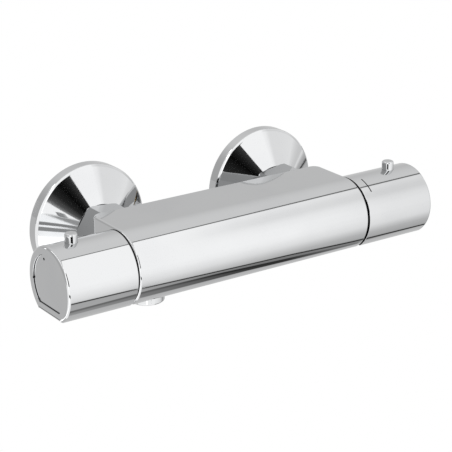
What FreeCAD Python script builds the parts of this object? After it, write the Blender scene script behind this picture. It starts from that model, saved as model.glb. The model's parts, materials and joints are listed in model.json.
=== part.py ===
"""Thermostatic bar shower valve for an exposed wall connection.

Frame: X runs along the bar, +X towards the temperature handle, Y runs into the wall,
Z is up. The origin lies on the wall plane, midway between the two wall threads.
Bar pieces are written with an outward distance from the middle of the bar, and with
Y and Z counted from the bar axis. The left end is the mirror of the right end.
All sizes are in millimetres.
"""
import FreeCAD, Part
import math
import os

from FreeCAD import Vector

os.makedirs("parts", exist_ok=True)

# ---- driving dimensions -------------------------------------------------------------

# layout on the wall
INLET_SPACING = 150.0        # standard centre distance of the wall connections
UNION_OFFSET = 5.0           # eccentric offset of the wall unions, thread to nut axis
BAR_REACH = 81.4             # wall plane to bar axis
BAR_DROP = 4.6               # bar axis below the union nut axis

# body
BODY_OVERHANG = 21.1         # inlet axis to the end face of the body
BODY_PROUD = 0.35            # how much larger the body's front arc is than the handles'
BODY_BACK = 36.6             # bar axis to the back face of the body
BACK_CORNER = 6.5            # rounding of the upright rear corners
BODY_ROUND = 1.8             # rounding that runs round both ends and along the rear edges
EDGE_ROUND = 1.4             # rounding of the long edges beside the flat
NECK_LENGTH = 7.9            # necks that carry the handles
NECK_WALL = 2.5

# handles
HANDLE_RADIUS = 26.1
FLAT_DROP = 21.3             # flat underside below the bar axis
JOINT_GAP = 0.6              # gap between the body and each handle
FLOW_HANDLE_LENGTH = 52.8
TEMP_HANDLE_LENGTH = 58.8
HANDLE_FLAT_WALL = 2.1       # wall between the hollow and the flat
HANDLE_END_WALL = 5.0
HANDLE_END_ROUND = 2.2
HANDLE_JOINT_ROUND = 0.8
CAP_INSET = 5.75             # rim around the end cap
CAP_RECESS = 0.9             # end cap set back from the rim
CAP_THICKNESS = 2.0
CAP_HOLE_RADIUS = 0.6        # small hole for prising the end cap out
CAP_HOLE_EDGE = 3.1          # hole to the edge of the cap
CAP_HOLE_ANGLE = -19.7       # behind the top
DRIVER_HOLE = 8.0            # radius of the screwdriver opening behind the cap
RIB_WIDTH = 3.0              # ribs that key the carrier in the handle
RIB_HEIGHT = 1.8
RIB_ANGLES = (60.0, 180.0, 300.0)
GLIDE_OFFSET = 1.5           # body end face to the glide ring
GLIDE_WIDTH = 5.6
GLIDE_THICKNESS = 1.7        # space between neck and handle

# mark on the temperature handle
MARK_FROM_JOINT = 7.15       # inner end of the handle to the near side of the mark
MARK_WIDTH = 0.9
MARK_DEPTH = 0.4
MARK_START_ANGLE = 13.5      # forward of the top
MARK_END_ANGLE = 43.0

# stop buttons
FLOW_BUTTON_FROM_JOINT = 34.8
TEMP_BUTTON_FROM_JOINT = 37.4
BUTTON_RADIUS = 4.3
BUTTON_CLEARANCE = 0.08
BUTTON_HEIGHT = 6.3          # above the crest of the handle
BUTTON_ROUND = 1.4
BUTTON_TRAVEL = 2.5
BUTTON_COLLAR = 1.3          # how far the collar stands out beyond the button
BUTTON_COLLAR_THICKNESS = 2.0
BUTTON_COLLAR_GAP = 1.2      # collar to the crown of the hollow
BUTTON_STEM_RADIUS = 1.5
BUTTON_STEM_GAP = 3.1        # stem to the pocket floor when pressed
BUTTON_SPRING_WIRE = 0.6
BUTTON_SPRING_RADIUS = 2.5
BUTTON_SPRING_TURNS = 4

# upper part of both cartridges
CARTRIDGE_CLEARANCE = 0.05
CARTRIDGE_NUT_WIDTH = 6.9
CARTRIDGE_NUT_WALL = 4.0
CARTRIDGE_NUT_SETBACK = 0.1
SPANNER_SLOT_DEPTH = 1.6
SPANNER_SLOT_WIDTH = 3.0
BONNET_PROUD = 3.8           # beyond the neck
BONNET_FLOOR = 2.4           # inner floor below the shoulder
BONNET_WALL = 3.0
UPPER_CHAMBER_LENGTH = 10.6
SPINDLE_RADIUS = 5.5
SPINDLE_CLEARANCE = 0.06
SPINDLE_COLLAR = 1.5         # collar height and thickness
SPINDLE_END_PLAY = 0.1
SPINDLE_RING_STEPS = (3.6, 7.0)   # bonnet floor to the sealing rings
RING_WIRE = 0.9              # section radius of the sealing rings
RING_SIDE_GAP = 0.1
RING_SQUEEZE_GAP = 0.01
SPLINE_GAP = 0.6             # bonnet to the start of the spline
SPLINE_LENGTH = 12.6
SPLINE_CORE = 3.6
SPLINE_RADIUS = 4.0
SPLINE_TEETH = 12
SPLINE_TOOTH = 1.0
SPLINE_CLEARANCE = 0.04
SCREW_RADIUS = 2.0
SCREW_DEPTH = 9.0            # threaded hole in the spindle
SCREW_END_GAP = 1.0
SCREW_HEAD_RADIUS = 3.8
SCREW_HEAD_HEIGHT = 2.6
SCREW_SOCKET_WIDTH = 2.5
SCREW_SOCKET_DEPTH = 1.6

# carriers that join each handle to its spindle
CARRIER_GAP = 0.7            # bonnet to the carrier
CARRIER_WEB = 4.0
CARRIER_CLEARANCE = 0.1
CARRIER_HUB_RADIUS = 8.5
CARRIER_HUB_GAP = 0.4        # hub end to the inside of the handle's end wall
SCREW_WALL = 2.6             # wall of the hub between spline bore and screw head
SCREW_HOLE_CLEARANCE = 0.2
SCREW_HEAD_CLEARANCE = 0.4
POCKET_WALL = 1.6            # wall between the screw opening and the spring pocket
POCKET_CLEARANCE = 0.2
LUG_CLEARANCE = 0.4
LUG_HEIGHT = 2.9
LUG_LENGTH = 3.0
LUG_ANGLE = 14.0
LUG_REST_ANGLE = 180.0       # lug at the bottom at rest, counted from the top to the front
STOP_RING_GAP = 0.2          # cartridge nut to the stop ring
STOP_RING_WIDTH = 3.4
STOP_RING_WALL = 2.3
STOP_TAB_STEP = 0.8          # tab set back from the inner face of the stop ring
STOP_MARGIN = 3.0            # free angle beyond each end of the travel
FLOW_RANGE = (0.0, 90.0)
TEMP_RANGE = (-150.0, 65.0)

# flow cartridge with ceramic discs
DISC_TO_OUTLET = 13.0        # fixed disc's inner face to the outlet axis
DISC_HOUSING_WALL = 3.94
DISC_CLEARANCE = 0.06
DISC_THICKNESS = 4.0
DISC_GAP = 0.02
DISC_PORT_INNER = 3.2
DISC_RIM = 2.2               # disc beyond its ports
DISC_PORT_ANGLE = 82.0
DISC_SEAL_THICKNESS = 1.8
DISC_SEAL_WIDTH = 1.9
DISC_KEY_WIDTH = 3.0
DISC_KEY_HEIGHT = 1.2
DRIVER_WIDTH = 5.0
DRIVER_RIM = 3.0             # disc beyond the driver
DRIVER_DEPTH = 1.6
DRIVER_HEIGHT = 4.5
WINDOW_GAP = 1.0             # rotating disc to the outlet windows
WINDOW_LENGTH = 9.5
GROOVE_MARGIN = 0.5

# thermostat
COLD_GROOVE_INNER = 9.5      # cold inlet axis to the inner side of the cold groove
COLD_GROOVE_OUTER = 6.0
MIDDLE_LAND = 5.5            # between the cold and the hot groove
HOT_GROOVE_WIDTH = 11.5
END_LAND = 3.5
GROOVE_DEPTH = 1.4
SHUTTLE_CHAMBER_LENGTH = 11.0
SHUTTLE_HOUSING_WALL = 3.0
SHUTTLE_OPENING = 1.0        # each slot at the mixed setting
SHUTTLE_CLEARANCE = 0.05
SHUTTLE_WALL = 2.4
SHUTTLE_WEB = 2.2
SHUTTLE_HOLE = 1.3           # radius of the holes in the web
SHUTTLE_HOLE_EDGE = 0.4      # hole to the shuttle's inner wall
SLOT_LENGTH = 2.0
SLOT_WIDTH = 5.5
SLOT_COUNT = 8
MIXING_TUBE_STEP = 2.5       # shuttle chamber to mixing tube
COLD_CHAMBER_STEP = 2.0
THERMOSTAT_FLOOR = 1.0
OUTFLOW_STEP = 2.5           # mixing tube to the opening in the floor
WAX_RADIUS = 4.4
WAX_GAP = 2.0                # floor to the wax element
WAX_COLLAR_RADIUS = 6.0
WAX_COLLAR_THICKNESS = 1.5
WAX_PIN_RADIUS = 1.5
SLEEVE_GUIDE = 6.0           # guided length in the upper chamber
SLEEVE_LENGTH = 16.0
SLEEVE_FLOOR = 1.5
SLEEVE_WALL = 1.95
SLEEVE_THREAD_LENGTH = 8.0
SLEEVE_END_GAP = 1.0         # keyway beyond the sleeve
SPINDLE_THREAD_RADIUS = 4.9
SPINDLE_THREAD_GAP = 1.2     # sleeve ledge to the spindle's inner end
PLUNGER_THICKNESS = 1.5
KEY_WIDTH = 2.0
KEY_HEIGHT = 1.0
KEY_SETBACK = 0.8
SPRING_SEAT_GAP = 0.1
RETURN_SPRING_WIRE = 0.7
RETURN_SPRING_GAP = 1.2      # spring to the mixing tube
RETURN_SPRING_TURNS = 4
OVERLOAD_SPRING_WIRE = 0.45
OVERLOAD_SPRING_GAP = 0.6    # spring to the sleeve
OVERLOAD_SPRING_TURNS = 3

# water ways in the body
MIXED_WAY_STEP = 6.0         # cartridge bore to mixed way
HOT_WAY_RADIUS = 5.0
HOT_WAY_COVER = 12.6         # hot way axis to the back face
HOT_CROSS_RADIUS = 4.5
HOT_CHAMBER_RADIUS = 9.0
HOT_CHAMBER_WALL = 4.5       # to the cartridge bore
COLD_WAY_RADIUS = 8.0
OUTLET_PORT_RADIUS = 6.5

# outlet bush under the body
OUTLET_RADIUS = 12.1
OUTLET_DROP = 6.1            # below the flat
OUTLET_SEAT = 3.9            # into the body
OUTLET_SEAL = 0.9
OUTLET_ROUND = 1.2
OUTLET_THREAD_RADIUS = 9.32  # G1/2 inside thread, crest radius
OUTLET_THREAD_LENGTH = 6.6
OUTLET_RELIEF_DEPTH = 0.48
OUTLET_WASHER_THICKNESS = 1.6
OUTLET_HOLE_RADIUS = 6.6
FIT_CLEARANCE = 0.05

# wall unions and union nuts
WALL_THREAD_RADIUS = 10.48   # G1/2
WALL_THREAD_LENGTH = 14.0
WALL_THREAD_SHOW = 2.0       # thread left in front of the wall plane
WALL_BORE_RADIUS = 7.0
ECCENTRIC_RADIUS = 12.6
ECCENTRIC_END = 12.0
UNION_THREAD_RADIUS = 13.2   # G3/4
UNION_START = 7.0
UNION_BORE_RADIUS = 9.0
UNION_FLOOR = 1.5            # wall left between the two offset bores' ends
GASKET_THICKNESS = 2.0
GASKET_INNER = 8.4
GASKET_MARGIN = 0.6
NUT_TO_BODY = 0.8
NUT_LENGTH = 20.8
NUT_ENGAGEMENT = 5.8         # union thread inside the nut
NUT_ACROSS_FLATS = 37.0
NUT_CHAMFER = 1.2
NUT_CLEARANCE = 0.08
HOT_NUT_TURN = -4.0          # clocking of each tightened nut, seen from the room
COLD_NUT_TURN = 9.5

# inlet connectors with strainer and non-return valve
CONNECTOR_FLANGE = 3.0
CONNECTOR_FLANGE_MARGIN = 0.4
CONNECTOR_RADIUS = 10.6
CONNECTOR_DEPTH = 11.0       # into the body
CONNECTOR_WALL = 1.9
CONNECTOR_LIP = 1.0          # lip length
CONNECTOR_LIP_STEP = 1.7     # lip height
STRAINER_RIM = 1.0
STRAINER_RIM_STEP = 1.3      # rim beyond the connector bore
STRAINER_GAP = 2.1           # cup to the connector bore
STRAINER_WALL = 0.6
STRAINER_LENGTH = 8.0
STRAINER_SLOTS = 10
STRAINER_SLOT_WIDTH = 1.2
STRAINER_SLOT_MARGIN = 1.2
CHECK_LENGTH = 12.0
CHECK_CLEARANCE = 0.1
CHECK_WALL = 1.7
CHECK_SEAT_THICKNESS = 1.6
CHECK_HUB_RADIUS = 2.2
CHECK_HUB_THICKNESS = 1.6
CHECK_SPOKE = 1.4
CHECK_SPOKES = 3
CHECK_RING_WIRE = 0.7
POPPET_GAP = 1.2             # poppet to the housing wall
POPPET_LAP = 1.1             # poppet over its seat
POPPET_THICKNESS = 1.5
POPPET_STEM = 1.0
POPPET_CLEARANCE = 0.06
CHECK_SPRING_RADIUS = 1.9
CHECK_SPRING_WIRE = 0.4
CHECK_SPRING_TURNS = 4

# rosettes
ROSETTE_RADIUS = 43.8
ROSETTE_RIM = 9.0
ROSETTE_STEP = 1.4           # rounded shoulder from rim to cone
ROSETTE_NECK = 18.8          # outer radius at the nut
ROSETTE_TO_NUT = 0.82
ROSETTE_WALL = 1.5
ROSETTE_ROUND = 0.8
WALL_SEAL_THICKNESS = 4.0
WALL_SEAL_WIDTH = 5.0
WALL_SEAL_GAP = 0.2

# ---- derived places -----------------------------------------------------------------

INLET_X = INLET_SPACING / 2.0
BODY_HALF = INLET_X + BODY_OVERHANG
OUTLET_X = -INLET_X
NUT_AXIS_Z = UNION_OFFSET
BAR_Y = -BAR_REACH
BAR_Z = NUT_AXIS_Z - BAR_DROP
BODY_BACK_Y = BAR_Y + BODY_BACK
BODY_ARC_RADIUS = HANDLE_RADIUS + BODY_PROUD
SHELF_TOP = BODY_ARC_RADIUS + BODY_PROUD

# outwards along the bar
HANDLE_START = BODY_HALF + JOINT_GAP
FLOW_END = HANDLE_START + FLOW_HANDLE_LENGTH
TEMP_END = HANDLE_START + TEMP_HANDLE_LENGTH
FLOW_BUTTON = HANDLE_START + FLOW_BUTTON_FROM_JOINT
TEMP_BUTTON = HANDLE_START + TEMP_BUTTON_FROM_JOINT
NECK_END = BODY_HALF + NECK_LENGTH
CARTRIDGE_NUT_END = NECK_END - CARTRIDGE_NUT_SETBACK
SHOULDER = CARTRIDGE_NUT_END - CARTRIDGE_NUT_WIDTH
BONNET_END = NECK_END + BONNET_PROUD
BORE_START = SHOULDER - BONNET_FLOOR
CHAMBER_START = BORE_START - UPPER_CHAMBER_LENGTH
SPINDLE_COLLAR_END = BORE_START - SPINDLE_END_PLAY
SPINDLE_COLLAR_START = SPINDLE_COLLAR_END - SPINDLE_COLLAR
SPLINE_START = BONNET_END + SPLINE_GAP
SPLINE_END = SPLINE_START + SPLINE_LENGTH
SCREW_SEAT = SPLINE_END + SCREW_WALL
CARRIER_START = BONNET_END + CARRIER_GAP
CARRIER_FACE = CARRIER_START + CARRIER_WEB

# radii about the bar axis
HANDLE_CAVITY = FLAT_DROP - HANDLE_FLAT_WALL
NECK_RADIUS = HANDLE_CAVITY - GLIDE_THICKNESS
CARTRIDGE_RADIUS = NECK_RADIUS - NECK_WALL
HOUSING_RADIUS = CARTRIDGE_RADIUS - CARTRIDGE_CLEARANCE
BONNET_RADIUS = CARTRIDGE_RADIUS - CARTRIDGE_NUT_WALL
CHAMBER_RADIUS = BONNET_RADIUS - BONNET_WALL
SPINDLE_BORE = SPINDLE_RADIUS + SPINDLE_CLEARANCE
STOP_RING_RADIUS = BONNET_RADIUS + STOP_RING_WALL
LUG_INNER = STOP_RING_RADIUS + LUG_CLEARANCE
LUG_OUTER = LUG_INNER + LUG_HEIGHT
SCREW_OPENING = SCREW_HEAD_RADIUS + SCREW_HEAD_CLEARANCE
POCKET_FLOOR = SCREW_OPENING + POCKET_WALL
POCKET_RADIUS = BUTTON_SPRING_RADIUS + BUTTON_SPRING_WIRE + POCKET_CLEARANCE
BUTTON_COLLAR_TOP = HANDLE_CAVITY - BUTTON_COLLAR_GAP
BUTTON_COLLAR_LOW = BUTTON_COLLAR_TOP - BUTTON_COLLAR_THICKNESS

# flow cartridge
DISC_START = INLET_X - DISC_TO_OUTLET
DISC_FACE = DISC_START + DISC_THICKNESS
DISC_END = DISC_FACE + DISC_GAP + DISC_THICKNESS
FLOW_CARTRIDGE_START = DISC_START - DISC_SEAL_THICKNESS
DISC_CHAMBER = CARTRIDGE_RADIUS - DISC_HOUSING_WALL
DISC_RADIUS = DISC_CHAMBER - DISC_CLEARANCE
DISC_PORT_OUTER = DISC_RADIUS - DISC_RIM
DISC_KEY_RADIUS = DISC_RADIUS + DISC_KEY_HEIGHT
DRIVER_REACH = DISC_RADIUS - DRIVER_RIM
WINDOW_START = DISC_END + WINDOW_GAP
WINDOW_END = WINDOW_START + WINDOW_LENGTH

# thermostat
COLD_GROOVE_START = INLET_X - COLD_GROOVE_INNER
COLD_GROOVE_END = INLET_X + COLD_GROOVE_OUTER
HOT_GROOVE_END = COLD_GROOVE_START - MIDDLE_LAND
HOT_GROOVE_START = HOT_GROOVE_END - HOT_GROOVE_WIDTH
THERMOSTAT_START = HOT_GROOVE_START - END_LAND
THERMOSTAT_SEAT = THERMOSTAT_START + THERMOSTAT_FLOOR
SHUTTLE_MIDDLE = (HOT_GROOVE_END + COLD_GROOVE_START) / 2.0
SHUTTLE_CHAMBER_START = SHUTTLE_MIDDLE - SHUTTLE_CHAMBER_LENGTH / 2.0
SHUTTLE_CHAMBER_END = SHUTTLE_MIDDLE + SHUTTLE_CHAMBER_LENGTH / 2.0
SHUTTLE_CHAMBER_RADIUS = CARTRIDGE_RADIUS - SHUTTLE_HOUSING_WALL
SHUTTLE_WEB_END = SHUTTLE_MIDDLE + SHUTTLE_WEB
MIXING_TUBE_RADIUS = SHUTTLE_CHAMBER_RADIUS - MIXING_TUBE_STEP
COLD_CHAMBER_RADIUS = SHUTTLE_CHAMBER_RADIUS - COLD_CHAMBER_STEP
HOT_CROSS_PLACE = HOT_GROOVE_START + HOT_CROSS_RADIUS
SLEEVE_END = CHAMBER_START + SLEEVE_GUIDE
SLEEVE_START = SLEEVE_END - SLEEVE_LENGTH
SLEEVE_LEDGE = SLEEVE_END - SLEEVE_THREAD_LENGTH
SLEEVE_RADIUS = CHAMBER_RADIUS - SHUTTLE_CLEARANCE
SLEEVE_CAVITY = SLEEVE_RADIUS - SLEEVE_WALL
PLUNGER_START = SLEEVE_START + SLEEVE_FLOOR

# outwards from the wall
BACK_FACE = BAR_REACH - BODY_BACK
NUT_FRONT = BACK_FACE - NUT_TO_BODY
NUT_BACK = NUT_FRONT - NUT_LENGTH
UNION_FACE = NUT_BACK + NUT_ENGAGEMENT
CONNECTOR_START = UNION_FACE + GASKET_THICKNESS
CONNECTOR_FLANGE_END = CONNECTOR_START + CONNECTOR_FLANGE
CONNECTOR_END = BACK_FACE + CONNECTOR_DEPTH
CONNECTOR_BORE = CONNECTOR_RADIUS - CONNECTOR_WALL
CHECK_END = CONNECTOR_END - CONNECTOR_LIP
CHECK_START = CHECK_END - CHECK_LENGTH
CHECK_SEAT_FACE = CHECK_START + CHECK_SEAT_THICKNESS
CHECK_RADIUS = CONNECTOR_BORE - CHECK_CLEARANCE
CHECK_BORE = CHECK_RADIUS - CHECK_WALL
POPPET_RADIUS = CHECK_BORE - POPPET_GAP
POPPET_BACK = CHECK_SEAT_FACE + POPPET_THICKNESS
STRAINER_RIM_RADIUS = CONNECTOR_BORE + STRAINER_RIM_STEP
STRAINER_RADIUS = CONNECTOR_BORE - STRAINER_GAP
ROSETTE_FRONT = NUT_BACK - ROSETTE_TO_NUT

# upwards at the outlet
OUTLET_BOTTOM = -FLAT_DROP - OUTLET_DROP
OUTLET_TOP = -FLAT_DROP + OUTLET_SEAT
OUTLET_THREAD_TOP = OUTLET_BOTTOM + OUTLET_THREAD_LENGTH
OUTLET_RELIEF_TOP = OUTLET_THREAD_TOP + OUTLET_WASHER_THICKNESS
OUTLET_RELIEF_RADIUS = OUTLET_THREAD_RADIUS + OUTLET_RELIEF_DEPTH

OVERCUT = 1.0                # how far a cutter or a joined piece runs past a face
FAR = 400.0                  # beyond every piece
FULL_TURN = 360.0            # degrees


# ---- small makers -------------------------------------------------------------------

def bar_cylinder(radius, start, end, y=0.0, z=0.0):
    """Cylinder along the bar from start to end, placed from the bar axis."""
    low = min(start, end)
    return Part.makeCylinder(radius, abs(end - start), Vector(low, BAR_Y + y, BAR_Z + z), Vector(1, 0, 0))


def bar_ring(outer, inner, start, end):
    """Ring or tube round the bar axis."""
    return bar_cylinder(outer, start, end).cut(bar_cylinder(inner, start, end))


def bar_box(x_low, x_high, y_low, y_high, z_low, z_high):
    """Box with Y and Z counted from the bar axis."""
    corner = Vector(x_low, BAR_Y + y_low, BAR_Z + z_low)
    return Part.makeBox(x_high - x_low, y_high - y_low, z_high - z_low, corner)


def bar_turn(shape, angle):
    """Turn a shape about the bar axis, from the top towards the front."""
    turned = shape.copy()
    turned.rotate(Vector(0, BAR_Y, BAR_Z), Vector(1, 0, 0), angle)
    return turned


def bar_torus(centre_radius, wire, place):
    """Sealing ring round the bar axis."""
    return Part.makeTorus(centre_radius, wire, Vector(place, BAR_Y, BAR_Z), Vector(1, 0, 0))


def wall_cylinder(radius, start, end, x, z):
    """Cylinder square to the wall; start and end are distances from the wall plane."""
    low = min(start, end)
    return Part.makeCylinder(radius, abs(end - start), Vector(x, -low, z), Vector(0, -1, 0))


def wall_ring(outer, inner, start, end, x, z):
    """Ring square to the wall."""
    return wall_cylinder(outer, start, end, x, z).cut(wall_cylinder(inner, start, end, x, z))


def upright_cylinder(radius, z_low, z_high, x, y=0.0):
    """Upright cylinder with Y and Z counted from the bar axis."""
    return Part.makeCylinder(radius, z_high - z_low, Vector(x, BAR_Y + y, BAR_Z + z_low), Vector(0, 0, 1))


def sector(inner, outer, start, end, middle_angle, width_angle):
    """Ring sector round the bar axis; angles run from the top towards the front."""
    half = width_angle / 2.0
    steps = 8
    reach = (outer + OVERCUT) / math.cos(math.radians(half / steps))
    outline = [Vector(start, BAR_Y, BAR_Z)]
    for step in range(steps + 1):
        angle = math.radians(middle_angle - half + width_angle * step / steps)
        outline.append(Vector(start, BAR_Y - reach * math.sin(angle), BAR_Z + reach * math.cos(angle)))
    outline.append(outline[0])
    wedge = Part.Face(Part.makePolygon(outline)).extrude(Vector(end - start, 0, 0))
    return bar_ring(outer, inner, start, end).common(wedge)


def coil(radius, wire, turns, start, end):
    """Round-wire coil spring between two points; the end points lie on its axis."""
    along = end.sub(start)
    pitch = (along.Length - 2.0 * wire) / turns
    path = Part.makeHelix(pitch, pitch * turns, radius)
    section = Part.Wire(Part.makeCircle(wire, Vector(radius, 0, 0), Vector(0, 1, 0)))
    spring = Part.Wire(path).makePipeShell([section], True, True)
    spring.translate(Vector(0, 0, wire))
    turn = FreeCAD.Rotation(Vector(0, 0, 1), along)
    spring.Placement = FreeCAD.Placement(start, turn).multiply(spring.Placement)
    return spring


def hexagon(width, centre, turn, first, second):
    """Hexagonal face across flats round a centre; first and second are its two directions."""
    corner = width / math.sqrt(3.0)
    points = []
    for step in range(7):
        angle = math.radians(60.0 * step + turn)
        across = Vector(first).multiply(corner * math.cos(angle))
        points.append(centre.add(across).add(Vector(second).multiply(corner * math.sin(angle))))
    return Part.Face(Part.makePolygon(points))


def spokes(x, width, start, end, reach, count):
    """Boxes that radiate from an inlet axis, evenly spaced."""
    boxes = []
    for step in range(count):
        box = Part.makeBox(reach, end - start, width, Vector(x, -end, NUT_AXIS_Z - width / 2.0))
        box.rotate(Vector(x, 0, NUT_AXIS_Z), Vector(0, 1, 0), FULL_TURN / count * step)
        boxes.append(box)
    return boxes


def cut_all(shape, cutters):
    """Cut a list of tools from a shape."""
    for cutter in cutters:
        shape = shape.cut(cutter)
    return shape


def edge_points(edge):
    """Both ends and the middle of an edge."""
    first, last = edge.ParameterRange
    return [edge.valueAt(first), edge.valueAt((first + last) / 2.0), edge.valueAt(last)]


def flat_edges(shape, axis, value):
    """Edges of a shape that lie wholly in one plane square to an axis."""
    chosen = []
    for edge in shape.Edges:
        if all(abs(point[axis] - value) < 1e-4 for point in edge_points(edge)):
            chosen.append(edge)
    return chosen


def long_edges(shape, axis, length):
    """Straight edges along one axis that have the full length."""
    chosen = []
    for edge in shape.Edges:
        points = edge_points(edge)
        along = abs(points[2][axis] - points[0][axis])
        if abs(along - length) < 1e-3 and abs(edge.Length - length) < 1e-3:
            chosen.append(edge)
    return chosen


def edges_beyond(edges, axis, value):
    """Those edges whose middle lies beyond a value on an axis."""
    return [edge for edge in edges if edge_points(edge)[1][axis] > value]


def edges_before(edges, axis, value):
    """Those edges whose middle lies before a value on an axis."""
    return [edge for edge in edges if edge_points(edge)[1][axis] < value]


def mirrored(shape):
    """Mirror a right-hand piece to the left end of the bar."""
    return shape.mirror(Vector(0, 0, 0), Vector(1, 0, 0))


def save(name, *solids):
    """Write one node; several solids stay separate in it."""
    shape = solids[0] if len(solids) == 1 else Part.makeCompound(list(solids))
    shape.exportStep("parts/" + name + ".step")


# ---- body ---------------------------------------------------------------------------

def body_block():
    """Outer form of the bar body: front arc, top shelf, back face and flat underside."""
    centre_y = BODY_PROUD
    centre_z = BODY_PROUD
    drop = FLAT_DROP + centre_z
    flat_front = centre_y - math.sqrt(BODY_ARC_RADIUS ** 2 - drop ** 2)
    top = Vector(-BODY_HALF, BAR_Y + centre_y, BAR_Z + SHELF_TOP)
    front = Vector(-BODY_HALF, BAR_Y + centre_y - BODY_ARC_RADIUS, BAR_Z + centre_z)
    toe = Vector(-BODY_HALF, BAR_Y + flat_front, BAR_Z - FLAT_DROP)
    heel = Vector(-BODY_HALF, BODY_BACK_Y, BAR_Z - FLAT_DROP)
    back_top = Vector(-BODY_HALF, BODY_BACK_Y, BAR_Z + SHELF_TOP)
    outline = Part.Wire([
        Part.Arc(toe, front, top).toShape(),
        Part.LineSegment(top, back_top).toShape(),
        Part.LineSegment(back_top, heel).toShape(),
        Part.LineSegment(heel, toe).toShape(),
    ])
    block = Part.Face(outline).extrude(Vector(2.0 * BODY_HALF, 0, 0))
    upright = edges_beyond(long_edges(block, 2, SHELF_TOP + FLAT_DROP), 1, BAR_Y)
    block = block.makeFillet(BACK_CORNER, upright)
    block = block.makeFillet(EDGE_ROUND, edges_before(long_edges(block, 0, 2.0 * BODY_HALF), 2, BAR_Z))
    ends = flat_edges(block, 0, -BODY_HALF) + flat_edges(block, 0, BODY_HALF)
    return block.makeFillet(BODY_ROUND, ends)


def valve_body():
    """Cast body with necks, cartridge bores, inlet seats and water ways."""
    body = body_block()
    for side in (-1, 1):
        body = body.fuse(bar_cylinder(NECK_RADIUS, side * (BODY_HALF - OVERCUT), side * NECK_END))
    hot_way_back = BODY_BACK - HOT_WAY_COVER
    hot_cross = Vector(HOT_CROSS_PLACE, BAR_Y, NUT_AXIS_Z)
    hot_chamber_front = BAR_REACH - CARTRIDGE_RADIUS - HOT_CHAMBER_WALL
    seal_top = OUTLET_TOP + OUTLET_SEAL
    connector_hole = CONNECTOR_RADIUS + FIT_CLEARANCE
    return cut_all(body, [
        bar_cylinder(CARTRIDGE_RADIUS, THERMOSTAT_START, FAR),
        bar_cylinder(CARTRIDGE_RADIUS, -FLOW_CARTRIDGE_START, -FAR),
        bar_cylinder(CARTRIDGE_RADIUS - MIXED_WAY_STEP, -DISC_START, THERMOSTAT_SEAT),
        bar_cylinder(HOT_WAY_RADIUS, -INLET_X, HOT_CROSS_PLACE, hot_way_back, BAR_DROP),
        Part.makeCylinder(HOT_CROSS_RADIUS, hot_way_back, hot_cross, Vector(0, 1, 0)),
        wall_cylinder(connector_hole, BACK_FACE - OVERCUT, CONNECTOR_END, -INLET_X, NUT_AXIS_Z),
        wall_cylinder(connector_hole, BACK_FACE - OVERCUT, CONNECTOR_END, INLET_X, NUT_AXIS_Z),
        wall_cylinder(HOT_CHAMBER_RADIUS, BACK_FACE, hot_chamber_front, -INLET_X, NUT_AXIS_Z),
        wall_cylinder(COLD_WAY_RADIUS, BACK_FACE, BAR_REACH, INLET_X, NUT_AXIS_Z),
        upright_cylinder(OUTLET_RADIUS + FIT_CLEARANCE, -FAR, seal_top, OUTLET_X),
        upright_cylinder(OUTLET_PORT_RADIUS, OUTLET_TOP, 0.0, OUTLET_X),
    ]).removeSplitter()


# ---- outlet -------------------------------------------------------------------------

def outlet_bush():
    """Round outlet bush with a G1/2 inside thread, shown at its crest radius."""
    bush = upright_cylinder(OUTLET_RADIUS, OUTLET_BOTTOM, OUTLET_TOP, OUTLET_X)
    bush = bush.makeFillet(OUTLET_ROUND, flat_edges(bush, 2, BAR_Z + OUTLET_BOTTOM))
    return cut_all(bush, [
        upright_cylinder(OUTLET_THREAD_RADIUS, OUTLET_BOTTOM, OUTLET_THREAD_TOP, OUTLET_X),
        upright_cylinder(OUTLET_RELIEF_RADIUS, OUTLET_THREAD_TOP, OUTLET_RELIEF_TOP, OUTLET_X),
        upright_cylinder(OUTLET_HOLE_RADIUS, OUTLET_RELIEF_TOP, OUTLET_TOP, OUTLET_X),
    ])


def outlet_washer():
    """Flat hose washer in the relief above the thread."""
    radius = OUTLET_RELIEF_RADIUS - FIT_CLEARANCE
    ring = upright_cylinder(radius, OUTLET_THREAD_TOP, OUTLET_RELIEF_TOP, OUTLET_X)
    return ring.cut(upright_cylinder(OUTLET_HOLE_RADIUS, OUTLET_THREAD_TOP, OUTLET_RELIEF_TOP, OUTLET_X))


def outlet_seal():
    """Flat seal between the bush and the floor of its seat."""
    top = OUTLET_TOP + OUTLET_SEAL
    ring = upright_cylinder(OUTLET_RADIUS, OUTLET_TOP, top, OUTLET_X)
    return ring.cut(upright_cylinder(OUTLET_HOLE_RADIUS, OUTLET_TOP, top, OUTLET_X))


# ---- inlets -------------------------------------------------------------------------

def wall_union(x):
    """Eccentric wall union: G1/2 thread for the wall, G3/4 thread for the nut."""
    z = NUT_AXIS_Z
    union = wall_cylinder(WALL_THREAD_RADIUS, -WALL_THREAD_LENGTH, WALL_THREAD_SHOW, x, 0.0)
    union = union.fuse(wall_cylinder(ECCENTRIC_RADIUS, WALL_THREAD_SHOW, ECCENTRIC_END, x, 0.0))
    union = union.fuse(wall_cylinder(UNION_THREAD_RADIUS, UNION_START, UNION_FACE, x, z))
    wall_bore_end = ECCENTRIC_END - UNION_FLOOR
    union = union.cut(wall_cylinder(WALL_BORE_RADIUS, -WALL_THREAD_LENGTH, wall_bore_end, x, 0.0))
    union = union.cut(wall_cylinder(UNION_BORE_RADIUS, UNION_START + UNION_FLOOR, UNION_FACE, x, z))
    return union.removeSplitter()


def union_gasket(x):
    """Flat washer between the wall union and the inlet connector."""
    outer = UNION_THREAD_RADIUS - GASKET_MARGIN
    return wall_ring(outer, GASKET_INNER, UNION_FACE, CONNECTOR_START, x, NUT_AXIS_Z)


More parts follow.
